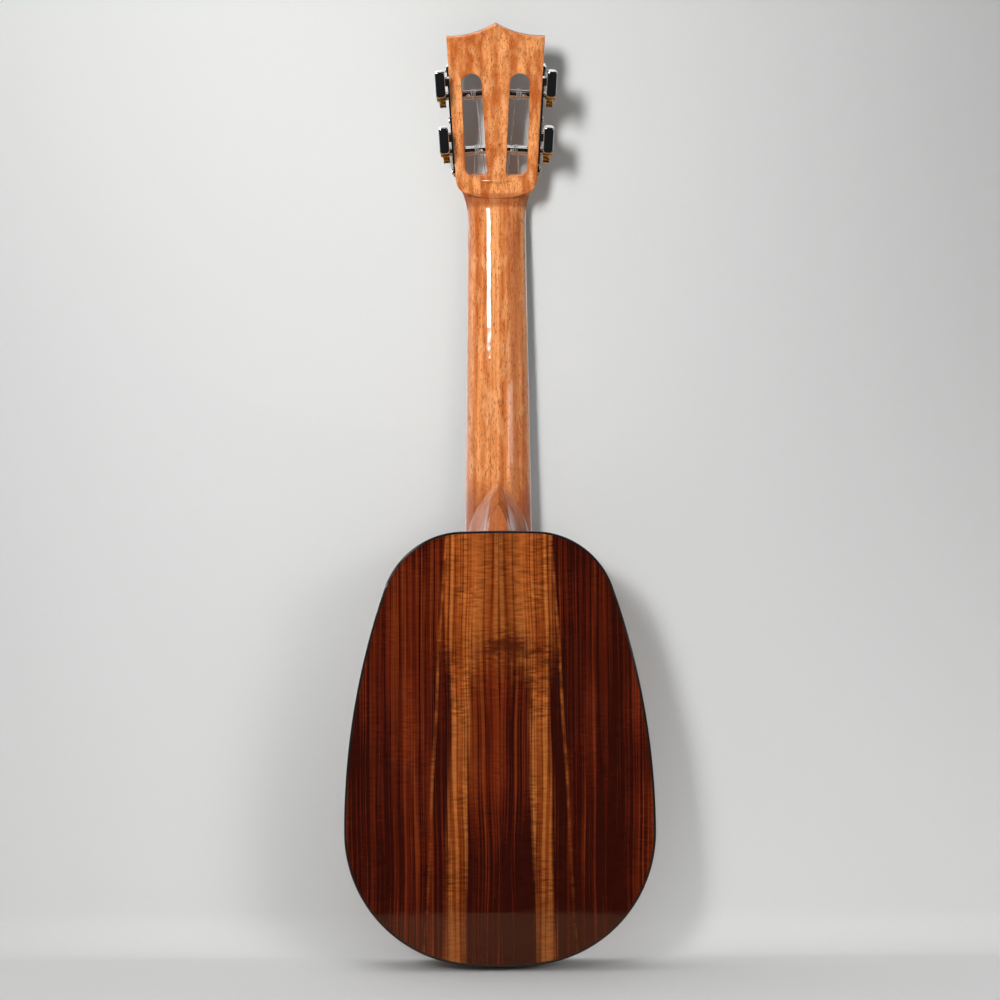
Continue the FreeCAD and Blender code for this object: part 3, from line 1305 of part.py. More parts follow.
def string_edges(number, tuner):
    diameter = STRING_DIAMETERS[number]
    radius = diameter / 2
    saddle_x = saddle_string_x(number)
    nut_x = nut_string_x(number)
    knot = on_body(saddle_x, -KNOT_RISE, BRIDGE_BOTTOM + KNOT_FROM_EDGE)
    nut = on_body(nut_x, -NUT_FLOOR_RISE - radius - STRING_SEAT, NUT_HEIGHT + NUT_FLOOR_LENGTH)
    turns = winding_points(tuner, nut, diameter)
    first = turns[0][0]
    crown = on_body(saddle_x, SADDLE_CROWN_RADIUS - SADDLE_RISE, SADDLE_HEIGHT)
    bend_radius = SADDLE_CROWN_RADIUS + STRING_SEAT + radius
    saddle = corner_over(knot, crown, nut, bend_radius)
    bend0 = tangent_bend(knot, saddle, nut, bend_radius)
    bend1 = tangent_bend(saddle, nut, first, NUT_BEND_RADIUS)
    edges = [Part.makeLine(knot, bend0[0]), Part.Arc(*bend0).toShape()]
    edges += [Part.makeLine(bend0[2], bend1[0]), Part.Arc(*bend1).toShape()]
    edges.append(Part.makeLine(bend1[2], first))
    turns[0] = (first, (first - nut).normalize())
    for (start, start_way), (end, end_way) in zip(turns, turns[1:]):
        edges += biarc(start, start_way, end, end_way)
    return edges, knot, (saddle - knot).normalize()


def turn_gap(edges, diameter):
    """The least gap between neighbouring turns, measured on points of the coil."""
    coil = edges[-8 * WINDING_TURN_COUNT:]
    points = []
    for edge in coil:
        points += edge.discretize(ARC_SAMPLE_COUNT + 1)[:-1]
    per_turn = 8 * ARC_SAMPLE_COUNT
    least = min(
        points[i].distanceToPoint(points[j])
        for i in range(len(points))
        for j in range(i + per_turn * 3 // 4, min(len(points), i + per_turn * 5 // 4))
    )
    return least - diameter


def build_strings():
    for tuner in TUNERS:
        number = TUNER_NAMES.index(tuner.name)
        diameter = STRING_DIAMETERS[number]
        edges, knot, way = string_edges(number, tuner)
        path = Part.Wire(edges)
        profile = Part.Wire(Part.makeCircle(diameter / 2, knot, way))
        cord = path.makePipeShell([profile], True, False)
        expected = path.Length * math.pi * (diameter / 2) ** 2
        name = STRING_NAMES[number] + "_string"
        print(name, "length", round(path.Length, 1), "volume share",
              round(cord.Volume / expected, 4), "gap", round(turn_gap(edges, diameter), 3))
        parts[name] = joined([cord, Part.makeSphere(KNOT_RADIUS, knot)])


def main():
    build_plates()
    build_rim()
    build_braces()
    build_fretboard()
    build_neck()
    build_headplate()
    build_nut()
    build_bridge()
    build_tuners()
    build_strings()
    os.makedirs("parts", exist_ok=True)
    for name, shape in parts.items():
        if not shape.isValid():
            print("not valid:", name)
        shape.exportStep("parts/" + name + ".step")
    for tuner in TUNERS:
        worm = tuner.origin + tuner.outward * WORM_HEIGHT
        worm += tuner.across * (tuner.towards_tip * CENTRE_DISTANCE)
        print(tuner.name, "roller at", tuner.origin, "axis", tuner.outward)
        print(tuner.name, "worm at", worm, "axis", tuner.inward)
    box = Part.makeCompound(list(parts.values())).BoundBox
    print("nodes", len(parts), "box", box)


main()
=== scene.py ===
import json
import math

import bpy
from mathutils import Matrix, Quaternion, Vector


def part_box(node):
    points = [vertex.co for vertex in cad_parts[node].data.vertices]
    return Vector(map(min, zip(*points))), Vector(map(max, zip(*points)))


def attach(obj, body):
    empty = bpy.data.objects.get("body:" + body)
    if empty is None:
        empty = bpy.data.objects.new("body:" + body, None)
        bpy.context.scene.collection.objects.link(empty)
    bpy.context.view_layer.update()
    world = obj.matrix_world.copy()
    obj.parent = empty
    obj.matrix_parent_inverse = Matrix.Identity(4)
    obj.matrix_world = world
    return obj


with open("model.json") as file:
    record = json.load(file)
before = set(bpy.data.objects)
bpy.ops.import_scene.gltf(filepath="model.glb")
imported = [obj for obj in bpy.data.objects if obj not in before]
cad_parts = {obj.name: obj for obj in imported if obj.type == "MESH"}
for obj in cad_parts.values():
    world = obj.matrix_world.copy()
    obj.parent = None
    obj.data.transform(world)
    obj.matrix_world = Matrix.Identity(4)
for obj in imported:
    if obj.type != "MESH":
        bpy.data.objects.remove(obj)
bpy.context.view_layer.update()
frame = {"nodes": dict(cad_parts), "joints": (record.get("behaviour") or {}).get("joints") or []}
nodes = frame["nodes"]

# Bent sides, end blocks and linings. The sides are two thin strips of the same
# figured wood as the back, bent on a hot iron, so their stripes run round the
# body. Blocks and linings are pale softwood, glued inside and left bare.

MM = 0.001


def node(tree, kind, inputs=(), **settings):
    """Add a node; an input that is given as a socket is linked, others are set."""
    made = tree.nodes.new(kind)
    for name, value in settings.items():
        setattr(made, name, value)
    for key, value in dict(inputs).items():
        socket = made.inputs[key]
        if isinstance(value, bpy.types.NodeSocket):
            tree.links.new(value, socket)
        else:
            socket.default_value = value
    return made


def maths(tree, operation, first, second=0.0, third=0.0, clamp=False):
    inputs = {0: first, 1: second, 2: third}
    return node(tree, "ShaderNodeMath", inputs, operation=operation, use_clamp=clamp).outputs[0]


def swing(tree, value, reach):
    """A value about a half, turned into a swing to either side of zero."""
    return maths(tree, "MULTIPLY", maths(tree, "SUBTRACT", value, 0.5), reach)


def mixed(tree, factor, first, second):
    inputs = {0: factor, 6: first, 7: second}
    return node(tree, "ShaderNodeMix", inputs, data_type="RGBA", clamp_factor=True).outputs[2]


def ramp_between(tree, value, low, high, to_low=0.0, to_high=1.0):
    """A smooth step from one level to another as the value passes from low to high."""
    inputs = {"Value": value, "From Min": low, "From Max": high, "To Min": to_low, "To Max": to_high}
    return node(tree, "ShaderNodeMapRange", inputs, interpolation_type="SMOOTHSTEP").outputs[0]


def stretched_noise(tree, place, sizes, detail=2.0, roughness=0.5, offset=0.0):
    """Noise whose grains measure the given sizes along the three axes."""
    scale = tuple(1 / size for size in sizes)
    moved = node(tree, "ShaderNodeVectorMath", {0: place, 1: scale, 2: (offset, offset, offset)},
                 operation="MULTIPLY_ADD").outputs[0]
    inputs = {"Vector": moved, "Scale": 1.0, "Detail": detail, "Roughness": roughness}
    return node(tree, "ShaderNodeTexNoise", inputs).outputs[0]


def new_group(name, inputs, outputs):
    """A shader group; each input is a name, a kind of socket and its usual value."""
    tree = bpy.data.node_groups.new(name, "ShaderNodeTree")
    for label, kind, value in inputs:
        socket = tree.interface.new_socket(label, in_out="INPUT", socket_type="NodeSocket" + kind)
        if value is not None:
            socket.default_value = value
    for label, kind in outputs:
        tree.interface.new_socket(label, in_out="OUTPUT", socket_type="NodeSocket" + kind)
    return tree, tree.nodes.new("NodeGroupInput").outputs, tree.nodes.new("NodeGroupOutput").inputs


def placed_group(tree, group, inputs):
    made = tree.nodes.new("ShaderNodeGroup")
    made.node_tree = group
    for key, value in inputs.items():
        if isinstance(value, bpy.types.NodeSocket):
            tree.links.new(value, made.inputs[key])
        else:
            made.inputs[key].default_value = value
    return made.outputs


def colour(red, green, blue):
    return (red, green, blue, 1.0)


# Each set of stripes has its width and length in millimetres, its share of the
# tone and its place in the noise.
STRIPES = (
    (9.0, 500, 0.22, 0.0),
    (2.6, 260, 0.30, 7.0),
    (1.1, 150, 0.36, 13.0),
    (0.5, 60, 0.12, 17.0),
)


def drifted(tree, place):
    """Bend the stripes gently, so that none runs quite straight."""
    drift = stretched_noise(tree, place, (90 * MM, 120 * MM, 120 * MM), detail=1.0)
    sideways = node(tree, "ShaderNodeCombineXYZ", {"X": swing(tree, drift, 7 * MM)}).outputs[0]
    return node(tree, "ShaderNodeVectorMath", {0: place, 1: sideways}).outputs[0]


def striped(tree, place, lightness):
    """The stripes' tone, from 0 for dark to 1 for light, with soft blotches."""
    tone = 0.0
    for width, length, weight, offset in STRIPES:
        stripes = stretched_noise(tree, place, (width * MM, length * MM, length * MM),
                                  detail=1.0, offset=offset)
        tone = maths(tree, "MULTIPLY_ADD", stripes, weight, tone)
    blotch = stretched_noise(tree, place, (16 * MM, 50 * MM, 50 * MM), detail=2.0, offset=19.0)
    tone = maths(tree, "MULTIPLY_ADD", maths(tree, "SUBTRACT", blotch, 0.5), 0.16, tone)
    return ramp_between(tree, maths(tree, "ADD", tone, swing(tree, lightness, 0.5)), 0.40, 0.64)


def curled(tree, place, ripple_place, depth):
    """Short ripples across the grain, deeper in some patches than in others."""
    ripple = stretched_noise(tree, ripple_place, (6 * MM, 1.3 * MM, 1.3 * MM), detail=1.0, offset=29.0)
    patch = stretched_noise(tree, place, (20 * MM, 40 * MM, 40 * MM), detail=1.0, offset=37.0)
    return maths(tree, "MULTIPLY", swing(tree, ripple, depth),
                 ramp_between(tree, patch, 0.35, 0.65, 0.5, 1.25))


def figured_wood_group():
    """Striped wood with curl: X of the place runs across the grain."""
    tree, given, out = new_group("figured wood", (
        ("Place", "Vector", None),
        ("Seed", "Float", 0.0),
        ("Dark", "Color", colour(0.026, 0.003, 0.0015)),
        ("Middle", "Color", colour(0.064, 0.007, 0.002)),
        ("Light", "Color", colour(0.130, 0.016, 0.0035)),
        ("Golden", "Color", colour(0.150, 0.026, 0.005)),
        ("Curl depth", "Float", 0.35),
        ("Lightness", "Float", 0.5),
    ), (("Color", "Color"), ("Across", "Float")))
    seeded = node(tree, "ShaderNodeCombineXYZ", {"Y": given["Seed"]}).outputs[0]
    place = node(tree, "ShaderNodeVectorMath", {0: given["Place"], 1: seeded}).outputs[0]
    warped = drifted(tree, place)
    tone = striped(tree, warped, given["Lightness"])
    curl = curled(tree, place, warped, given["Curl depth"])
    hue = stretched_noise(tree, warped, (6 * MM, 300 * MM, 300 * MM), detail=1.0, offset=41.0)
    light = mixed(tree, ramp_between(tree, hue, 0.42, 0.62), given["Light"], given["Golden"])
    low = mixed(tree, ramp_between(tree, tone, 0.0, 0.5), given["Dark"], given["Middle"])
    whole = mixed(tree, ramp_between(tree, tone, 0.45, 1.0), low, light)
    bright = node(tree, "ShaderNodeHueSaturation", {
        "Value": maths(tree, "MULTIPLY_ADD", curl, 3.0, 1.0), "Color": whole}).outputs[0]
    tree.links.new(bright, out["Color"])
    tree.links.new(node(tree, "ShaderNodeSeparateXYZ", {0: warped}).outputs[0], out["Across"])
    return tree


def lacquer_group():
    """Polished lacquer: faint waves and a little unevenness in the gloss."""
    tree, given, out = new_group("lacquer skin", (
        ("Place", "Vector", None),
        ("Roughness", "Float", 0.05),
        ("Waviness", "Float", 0.12),
    ), (("Roughness", "Float"), ("Normal", "Vector")))
    waves = stretched_noise(tree, given["Place"], (14 * MM, 14 * MM, 14 * MM), detail=1.0)
    smear = stretched_noise(tree, given["Place"], (30 * MM, 30 * MM, 30 * MM), detail=3.0, offset=5.0)
    rough = maths(tree, "MULTIPLY", given["Roughness"], ramp_between(tree, smear, 0.3, 0.7, 0.6, 1.5))
    skin = node(tree, "ShaderNodeBump", {
        "Strength": given["Waviness"], "Distance": 0.2 * MM, "Height": waves}).outputs[0]
    tree.links.new(rough, out["Roughness"])
    tree.links.new(skin, out["Normal"])
    return tree


def new_material(name, base, roughness=0.5, settings=()):
    """A material with its Principled shader; returns it, its tree, the shader and the place."""
    material = bpy.data.materials.new(name)
    material.use_nodes = True
    material.diffuse_color = base
    tree = material.node_tree
    shader = tree.nodes["Principled BSDF"]
    shader.inputs["Base Color"].default_value = base
    shader.inputs["Roughness"].default_value = roughness
    for socket, value in dict(settings).items():
        shader.inputs[socket].default_value = value
    place = node(tree, "ShaderNodeTexCoord").outputs["Object"]
    return material, tree, shader, place


def dress(material, *names):
    """Give CAD nodes a material in place of the plain one."""
    for name in names:
        slots = nodes[name].data.materials
        slots.clear()
        slots.append(material)


FIGURED_WOOD = figured_wood_group()
LACQUER = lacquer_group()


def lacquered(tree, shader, place, roughness=0.05, waviness=0.12):
    skin = placed_group(tree, LACQUER, {"Place": place, "Roughness": roughness, "Waviness": waviness})
    tree.links.new(skin["Roughness"], shader.inputs["Roughness"])
    tree.links.new(skin["Normal"], shader.inputs["Normal"])


def side_wood():
    """The stripes run round the body, so depth and width change places."""
    material, tree, shader, place = new_material("side wood", colour(0.09, 0.02, 0.006))
    parted = node(tree, "ShaderNodeSeparateXYZ", {0: place}).outputs
    turned = node(tree, "ShaderNodeCombineXYZ", {
        "X": parted["Y"], "Y": parted["X"], "Z": parted["Z"]}).outputs[0]
    wood = placed_group(tree, FIGURED_WOOD, {
        "Place": turned, "Seed": 3.7, "Curl depth": 0.5, "Lightness": 0.55})
    tree.links.new(wood["Color"], shader.inputs["Base Color"])
    lacquered(tree, shader, place)
    return material


SOFTWOOD_PALE = colour(0.66, 0.46, 0.25)
SOFTWOOD_RING = colour(0.50, 0.30, 0.13)
SOFTWOOD_FLECK = colour(0.38, 0.22, 0.10)


def bare_wood():
    """Pale softwood with narrow year rings, planed and left bare."""
    material, tree, shader, place = new_material("bare softwood", colour(0.62, 0.42, 0.22), 0.6)
    rings = stretched_noise(tree, place, (1.3 * MM, 5 * MM, 60 * MM), detail=2.0)
    flecks = stretched_noise(tree, place, (0.3 * MM, 0.8 * MM, 6 * MM), detail=1.0, offset=9.0)
    tone = mixed(tree, ramp_between(tree, rings, 0.40, 0.62), SOFTWOOD_PALE, SOFTWOOD_RING)
    tone = mixed(tree, ramp_between(tree, flecks, 0.60, 0.75, 0.0, 0.35), tone, SOFTWOOD_FLECK)
    tree.links.new(tone, shader.inputs["Base Color"])
    bump = node(tree, "ShaderNodeBump", {"Strength": 0.4, "Distance": 0.1 * MM, "Height": flecks})
    tree.links.new(bump.outputs[0], shader.inputs["Normal"])
    return material


BARE_WOOD = bare_wood()
dress(side_wood(), "side_bass", "side_treble")
dress(BARE_WOOD, "top_lining", "back_lining", "neck_block", "tail_block", "neck_dowels")

# Back. Two leaves sawn from one board are opened like a book and glued at the
# middle, so their stripes mirror each other; three bars and a strip of softwood
# are glued inside, and the outside is lacquered to a high gloss.

BACK_SEED = 1.31
LEAF_DIFFERENCE = 6 * MM
JOINT_WIDTH = 0.35 * MM
JOINT_BLEND = 0.1 * MM
TAIL_DARK_END = 40 * MM
TAIL_LIGHT_START = 200 * MM
BASS_EDGE_START = -76 * MM
BASS_EDGE_END = -86 * MM
INNER_BAND_START = 26 * MM
INNER_BAND_END = 12 * MM
INNER_BAND_LOW = 50 * MM
INNER_BAND_HIGH = 120 * MM
FRAY_REACH = 9 * MM
STREAK_PLACE = 29.5 * MM
STREAK_LEAN = 0.036
STREAK_WIDTH = 10.5 * MM
STREAK_DULL_END = 20 * MM
STREAK_BRIGHT_START = 120 * MM
SLIM_LINE_PLACE = 47 * MM
SLIM_LINE_LEAN = 0.055
SLIM_LINE_HALF_WIDTH = 1.5 * MM
SLIM_LINE_FAINT_END = 70 * MM
SLIM_LINE_CLEAR_START = 150 * MM
CROWN_START = 168 * MM
CROWN_END = 214 * MM
CROWN_HALF_WIDTH = 30 * MM
CROWN_EDGE = 5 * MM
CROWN_MIDDLE = 13 * MM
EYE_PLACE = (-8 * MM, 0.0, 197 * MM)
EYE_WIDTH = 22 * MM
EYE_HEIGHT = 8 * MM
EYE_SHADE = colour(0.050, 0.007, 0.003)
BACK_JOINT_SHADE = colour(0.02, 0.005, 0.002)
PALE_FIGURE = {
    "Dark": colour(0.11, 0.016, 0.003), "Middle": colour(0.25, 0.050, 0.008),
    "Light": colour(0.39, 0.100, 0.018), "Golden": colour(0.42, 0.135, 0.026),
}


def glue_joint(tree, out_from_joint, tone, shade):
    """Draw the fine dark line where the two leaves meet."""
    joint = ramp_between(tree, out_from_joint, JOINT_WIDTH, 0.0, 0.0, 0.6)
    return mixed(tree, joint, tone, shade)


def back_lightness(tree, x, out_from_joint, height, treble_side):
    """Lighter towards the heel, on the treble leaf, at the bass edge and near the joint."""
    tail_shade = ramp_between(tree, height, TAIL_DARK_END, TAIL_LIGHT_START, 0.33, 0.41)
    lightness = maths(tree, "MULTIPLY_ADD", treble_side, 0.12, tail_shade)
    bass_edge = ramp_between(tree, x, BASS_EDGE_START, BASS_EDGE_END, 0.0, 0.26)
    inner = maths(tree, "MULTIPLY",
                  ramp_between(tree, out_from_joint, INNER_BAND_START, INNER_BAND_END, 0.0, 0.09),
                  ramp_between(tree, height, INNER_BAND_LOW, INNER_BAND_HIGH, -0.4, 1.0))
    return maths(tree, "ADD", lightness, maths(tree, "ADD", bass_edge, inner))


def from_line(tree, across, height, start, lean):
    """How far a place lies from a line that leans in towards the joint."""
    line = maths(tree, "SUBTRACT", start, maths(tree, "MULTIPLY", height, lean))
    return maths(tree, "ABSOLUTE", maths(tree, "SUBTRACT", across, line))


def bright_streak(tree, across, height, fray):
    """The broad streak of pale wood with frayed edges, duller at the tail."""
    off = maths(tree, "ADD", from_line(tree, across, height, STREAK_PLACE, STREAK_LEAN), fray)
    streak = ramp_between(tree, off, STREAK_WIDTH * 0.72, STREAK_WIDTH * 0.30)
    return maths(tree, "MULTIPLY", streak,
                 ramp_between(tree, height, STREAK_DULL_END, STREAK_BRIGHT_START, 0.45, 0.80))


def slim_line(tree, place, across, height):
    """A thin pale line in the dark wood, beaded along its length."""
    off = from_line(tree, across, height, SLIM_LINE_PLACE, SLIM_LINE_LEAN)
    beads = stretched_noise(tree, place, (9 * MM, 9 * MM, 9 * MM), detail=1.0, offset=43.0)
    line = maths(tree, "MULTIPLY", ramp_between(tree, off, SLIM_LINE_HALF_WIDTH, 0.0),
                 ramp_between(tree, beads, 0.40, 0.60, 0.25, 0.70))
    return maths(tree, "MULTIPLY", line, ramp_between(
        tree, height, SLIM_LINE_FAINT_END, SLIM_LINE_CLEAR_START, 0.25, 1.0))


def pale_crown(tree, across, height, fray):
    """The pale zone under the heel, frayed at its edges and darker in its middle."""
    crown_height = maths(tree, "MULTIPLY_ADD", fray, 5.0, height)
    crown = maths(tree, "MULTIPLY",
                  ramp_between(tree, crown_height, CROWN_START, CROWN_END),
                  ramp_between(tree, maths(tree, "ADD", across, fray),
                               CROWN_HALF_WIDTH + CROWN_EDGE, CROWN_HALF_WIDTH))
    return maths(tree, "MULTIPLY", crown,
                 ramp_between(tree, across, CROWN_MIDDLE * 0.7, CROWN_MIDDLE * 1.2, 0.46, 0.84))


def dark_eye(tree, place):
    """The small cloudy dark spot in the pale zone, beside the joint."""
    away = node(tree, "ShaderNodeVectorMath", {0: place, 1: EYE_PLACE}, operation="SUBTRACT").outputs[0]
    shrink = (1 / EYE_WIDTH, 0.0, 1 / EYE_HEIGHT)
    flat = node(tree, "ShaderNodeVectorMath", {0: away, 1: shrink}, operation="MULTIPLY").outputs[0]
    reach = node(tree, "ShaderNodeVectorMath", {0: flat}, operation="LENGTH").outputs["Value"]
    cloud = stretched_noise(tree, place, (7 * MM, 9 * MM, 3 * MM), detail=3.0, offset=53.0)
    reach = maths(tree, "MULTIPLY_ADD", maths(tree, "SUBTRACT", cloud, 0.5), 2.4, reach)
    return ramp_between(tree, reach, 1.2, 0.2, 0.0, 0.85)


def back_wood():
    """Dark striped wood, crossed by the pale figure: streaks, slim lines and crown."""
    material, tree, shader, place = new_material("back wood", colour(0.07, 0.012, 0.004))
    parted = node(tree, "ShaderNodeSeparateXYZ", {0: place}).outputs
    height = parted["Z"]
    out_from_joint = maths(tree, "ABSOLUTE", parted["X"])
    treble_side = ramp_between(tree, parted["X"], -JOINT_BLEND, JOINT_BLEND)
    mirrored = node(tree, "ShaderNodeCombineXYZ", {
        "X": out_from_joint, "Y": maths(tree, "MULTIPLY", treble_side, LEAF_DIFFERENCE),
        "Z": height}).outputs[0]
    stripes = placed_group(tree, FIGURED_WOOD, {
        "Place": mirrored, "Seed": BACK_SEED, "Curl depth": 0.30,
        "Lightness": back_lightness(tree, parted["X"], out_from_joint, height, treble_side)})
    pale = placed_group(tree, FIGURED_WOOD, {
        "Place": mirrored, "Seed": BACK_SEED, "Curl depth": 0.62, "Lightness": 0.66, **PALE_FIGURE})
    across = stripes["Across"]
    fray = stretched_noise(tree, mirrored, (1.6 * MM, 9 * MM, 70 * MM), detail=2.0, offset=47.0)
    fray = swing(tree, fray, FRAY_REACH)
    mask = maths(tree, "MAXIMUM", bright_streak(tree, across, height, fray),
                 pale_crown(tree, across, height, fray))
    mask = maths(tree, "MAXIMUM", mask, slim_line(tree, place, across, height))
    tone = mixed(tree, mask, stripes["Color"], pale["Color"])
    tone = mixed(tree, dark_eye(tree, place), tone, EYE_SHADE)
    tone = glue_joint(tree, out_from_joint, tone, BACK_JOINT_SHADE)
    tree.links.new(tone, shader.inputs["Base Color"])
    lacquered(tree, shader, place, roughness=0.035, waviness=0.05)
    return material


dress(back_wood(), "back_plate_bass", "back_plate_treble")
dress(BARE_WOOD, "lower_back_brace", "middle_back_brace", "upper_back_brace", "back_centre_strip")

# Soundboard. Two lighter leaves of the same wood, thin enough to ring, with
# bars and a bridge patch glued below and a round hole cut through.

TOP_JOINT_SHADE = colour(0.04, 0.012, 0.004)
TOP_FIGURE = {
    "Dark": colour(0.075, 0.016, 0.005), "Middle": colour(0.19, 0.05, 0.012),
    "Light": colour(0.33, 0.105, 0.026), "Golden": colour(0.38, 0.14, 0.035),
}


def top_wood():
    material, tree, shader, place = new_material("top wood", colour(0.2, 0.06, 0.015))
    parted = node(tree, "ShaderNodeSeparateXYZ", {0: place}).outputs
    out_from_joint = maths(tree, "ABSOLUTE", parted["X"])
    mirrored = node(tree, "ShaderNodeCombineXYZ", {
        "X": out_from_joint, "Z": parted["Z"]}).outputs[0]
    wood = placed_group(tree, FIGURED_WOOD, {
        "Place": mirrored, "Seed": 8.2, "Curl depth": 0.6, "Lightness": 0.5, **TOP_FIGURE})
    tone = glue_joint(tree, out_from_joint, wood["Color"], TOP_JOINT_SHADE)
    tree.links.new(tone, shader.inputs["Base Color"])
    lacquered(tree, shader, place)
    return material


dress(top_wood(), "top_plate_bass", "top_plate_treble")
dress(BARE_WOOD, "upper_top_brace", "lower_top_brace", "fan_braces", "bridge_patch")

# Ring round the sound hole. Fine black and white lines stand each side of a
# band of light wood; all are inlaid in a channel and sanded level.

RING_WIDTH = 6.0 * MM
INLAY_LINE_WIDTH = 0.5 * MM
INLAY_LINE_EDGE = 0.05 * MM
BLACK_LINE = colour(0.015, 0.012, 0.010)
IVORY_LINE = colour(0.75, 0.70, 0.58)
RING_FIGURE = {
    "Dark": colour(0.20, 0.09, 0.03), "Middle": colour(0.36, 0.18, 0.07),
    "Light": colour(0.50, 0.27, 0.11), "Golden": colour(0.55, 0.33, 0.14),
}


def ring_inlay():
    material, tree, shader, place = new_material("ring inlay", colour(0.2, 0.08, 0.03))
    low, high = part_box("sound_hole_rosette")
    middle = (low + high) / 2
    outer_radius = (high.x - low.x) / 2
    away = node(tree, "ShaderNodeVectorMath", {0: place, 1: tuple(middle)}, operation="SUBTRACT")
    flat = node(tree, "ShaderNodeVectorMath", {0: away.outputs[0], 1: (1, 0, 1)},
                operation="MULTIPLY").outputs[0]
    reach = node(tree, "ShaderNodeVectorMath", {0: flat}, operation="LENGTH").outputs["Value"]
    from_outside = maths(tree, "SUBTRACT", outer_radius, reach)
    from_inside = maths(tree, "SUBTRACT", RING_WIDTH, from_outside)
    nearest = maths(tree, "MINIMUM", from_outside, from_inside)
    tone = placed_group(tree, FIGURED_WOOD, {
        "Place": place, "Seed": 5.5, "Curl depth": 0.5, "Lightness": 0.6, **RING_FIGURE})["Color"]
    for count, shade in ((3, BLACK_LINE), (2, IVORY_LINE), (1, BLACK_LINE)):
        line_end = count * INLAY_LINE_WIDTH
        line = ramp_between(tree, nearest, line_end + INLAY_LINE_EDGE, line_end - INLAY_LINE_EDGE)
        tone = mixed(tree, line, tone, shade)
    tree.links.new(tone, shader.inputs["Base Color"])
    lacquered(tree, shader, place)
    return material


dress(ring_inlay(), "sound_hole_rosette")

# Bindings. Strips of black plastic are bent into a step cut round both edges,
# scraped level with the wood and polished with it.


def binding_plastic():
    material, tree, shader, place = new_material(
        "binding plastic", colour(0.010, 0.009, 0.009), 0.06, {"IOR": 1.5})
    cloud = stretched_noise(tree, place, (25 * MM, 25 * MM, 25 * MM), detail=3.0)
    tone = mixed(tree, cloud, colour(0.007, 0.006, 0.006), colour(0.018, 0.015, 0.014))
    tree.links.new(tone, shader.inputs["Base Color"])
    lacquered(tree, shader, place, roughness=0.07, waviness=0.08)
    return material


dress(binding_plastic(), "top_binding", "back_binding")

# Neck, heel and head, carved from one length of open-pored orange-brown wood.
# The pores are filled and show as dark ticks under the gloss; the head's edges
# are left matt. The pointed heel cap is cut from the same wood.

HEAD_START = 470 * MM
POLISH_FADE = 4 * MM
# Painted shade darkens the heel towards the body and the hollow under the head's lip.
HEEL_TOP = 306 * MM
HEEL_FADE = 22 * MM
LIP_LOW = 481 * MM
LIP_SHADE_START = 9 * MM
LIP_SHADE_END = 5 * MM
LIP_EDGE = 2 * MM
# Painted shade: a darker band down the bass side of the neck, the side turned from the light.
PAINTED_SHADE_BAND_PLACE = -10.5 * MM
PAINTED_SHADE_BAND_WIDTH = 4.5 * MM
PAINTED_SHADE_BAND_CORE = 1.5 * MM
PAINTED_SHADE_BAND_WANDER = 7 * MM
PAINTED_SHADE_BAND_TOP = HEAD_START + 10 * MM
PAINTED_SHADE_BAND_FADE = HEAD_START - 20 * MM
NECK_BROWN = colour(0.50, 0.122, 0.024)
NECK_ORANGE = colour(0.88, 0.36, 0.125)
NECK_GRAIN = colour(0.46, 0.125, 0.031)
NECK_SHEEN = colour(0.92, 0.47, 0.205)
NECK_PORES = colour(0.16, 0.035, 0.010)
NECK_PAINTED_SHADE = colour(0.30, 0.058, 0.017)


def pores_group():
    """Short dark ticks along the grain; X and Y of the place run across it."""
    tree, given, out = new_group("pores", (
        ("Place", "Vector", None),
        ("Amount", "Float", 0.5),
    ), (("Mask", "Float"),))
    fine = stretched_noise(tree, given["Place"], (0.40 * MM, 0.40 * MM, 2.6 * MM), detail=1.0)
    coarse = stretched_noise(tree, given["Place"], (0.75 * MM, 0.75 * MM, 4.5 * MM), detail=1.0,
                             offset=11.0)
    zone = stretched_noise(tree, given["Place"], (7 * MM, 7 * MM, 60 * MM), detail=1.0, offset=23.0)
    limit = maths(tree, "SUBTRACT", 0.74, maths(tree, "MULTIPLY", given["Amount"], 0.12))
    limit = maths(tree, "SUBTRACT", limit, maths(tree, "MULTIPLY", zone, 0.10))
    small = maths(tree, "MULTIPLY", maths(tree, "SUBTRACT", fine, limit), 14.0, clamp=True)
    large = maths(tree, "MULTIPLY", maths(tree, "SUBTRACT", coarse, limit), 14.0, clamp=True)
    tree.links.new(maths(tree, "MAXIMUM", small, large), out["Mask"])
    return tree


PORES = pores_group()


def matt_ends(tree, shader, place):
    """Leave the head's edges and the insides of its slots unpolished."""
    facing = node(tree, "ShaderNodeNewGeometry").outputs["Normal"]
    depth_part = node(tree, "ShaderNodeSeparateXYZ", {0: facing}).outputs["Y"]
    edge_on = ramp_between(tree, maths(tree, "ABSOLUTE", depth_part), 0.6, 0.4)
    height = node(tree, "ShaderNodeSeparateXYZ", {0: place}).outputs["Z"]
    matt = maths(tree, "MULTIPLY", edge_on,
                 ramp_between(tree, height, HEAD_START, HEAD_START + POLISH_FADE))
    polished = shader.inputs["Roughness"].links[0].from_socket
    rough = maths(tree, "MAXIMUM", polished, maths(tree, "MULTIPLY", matt, 0.75))
    tree.links.new(rough, shader.inputs["Roughness"])


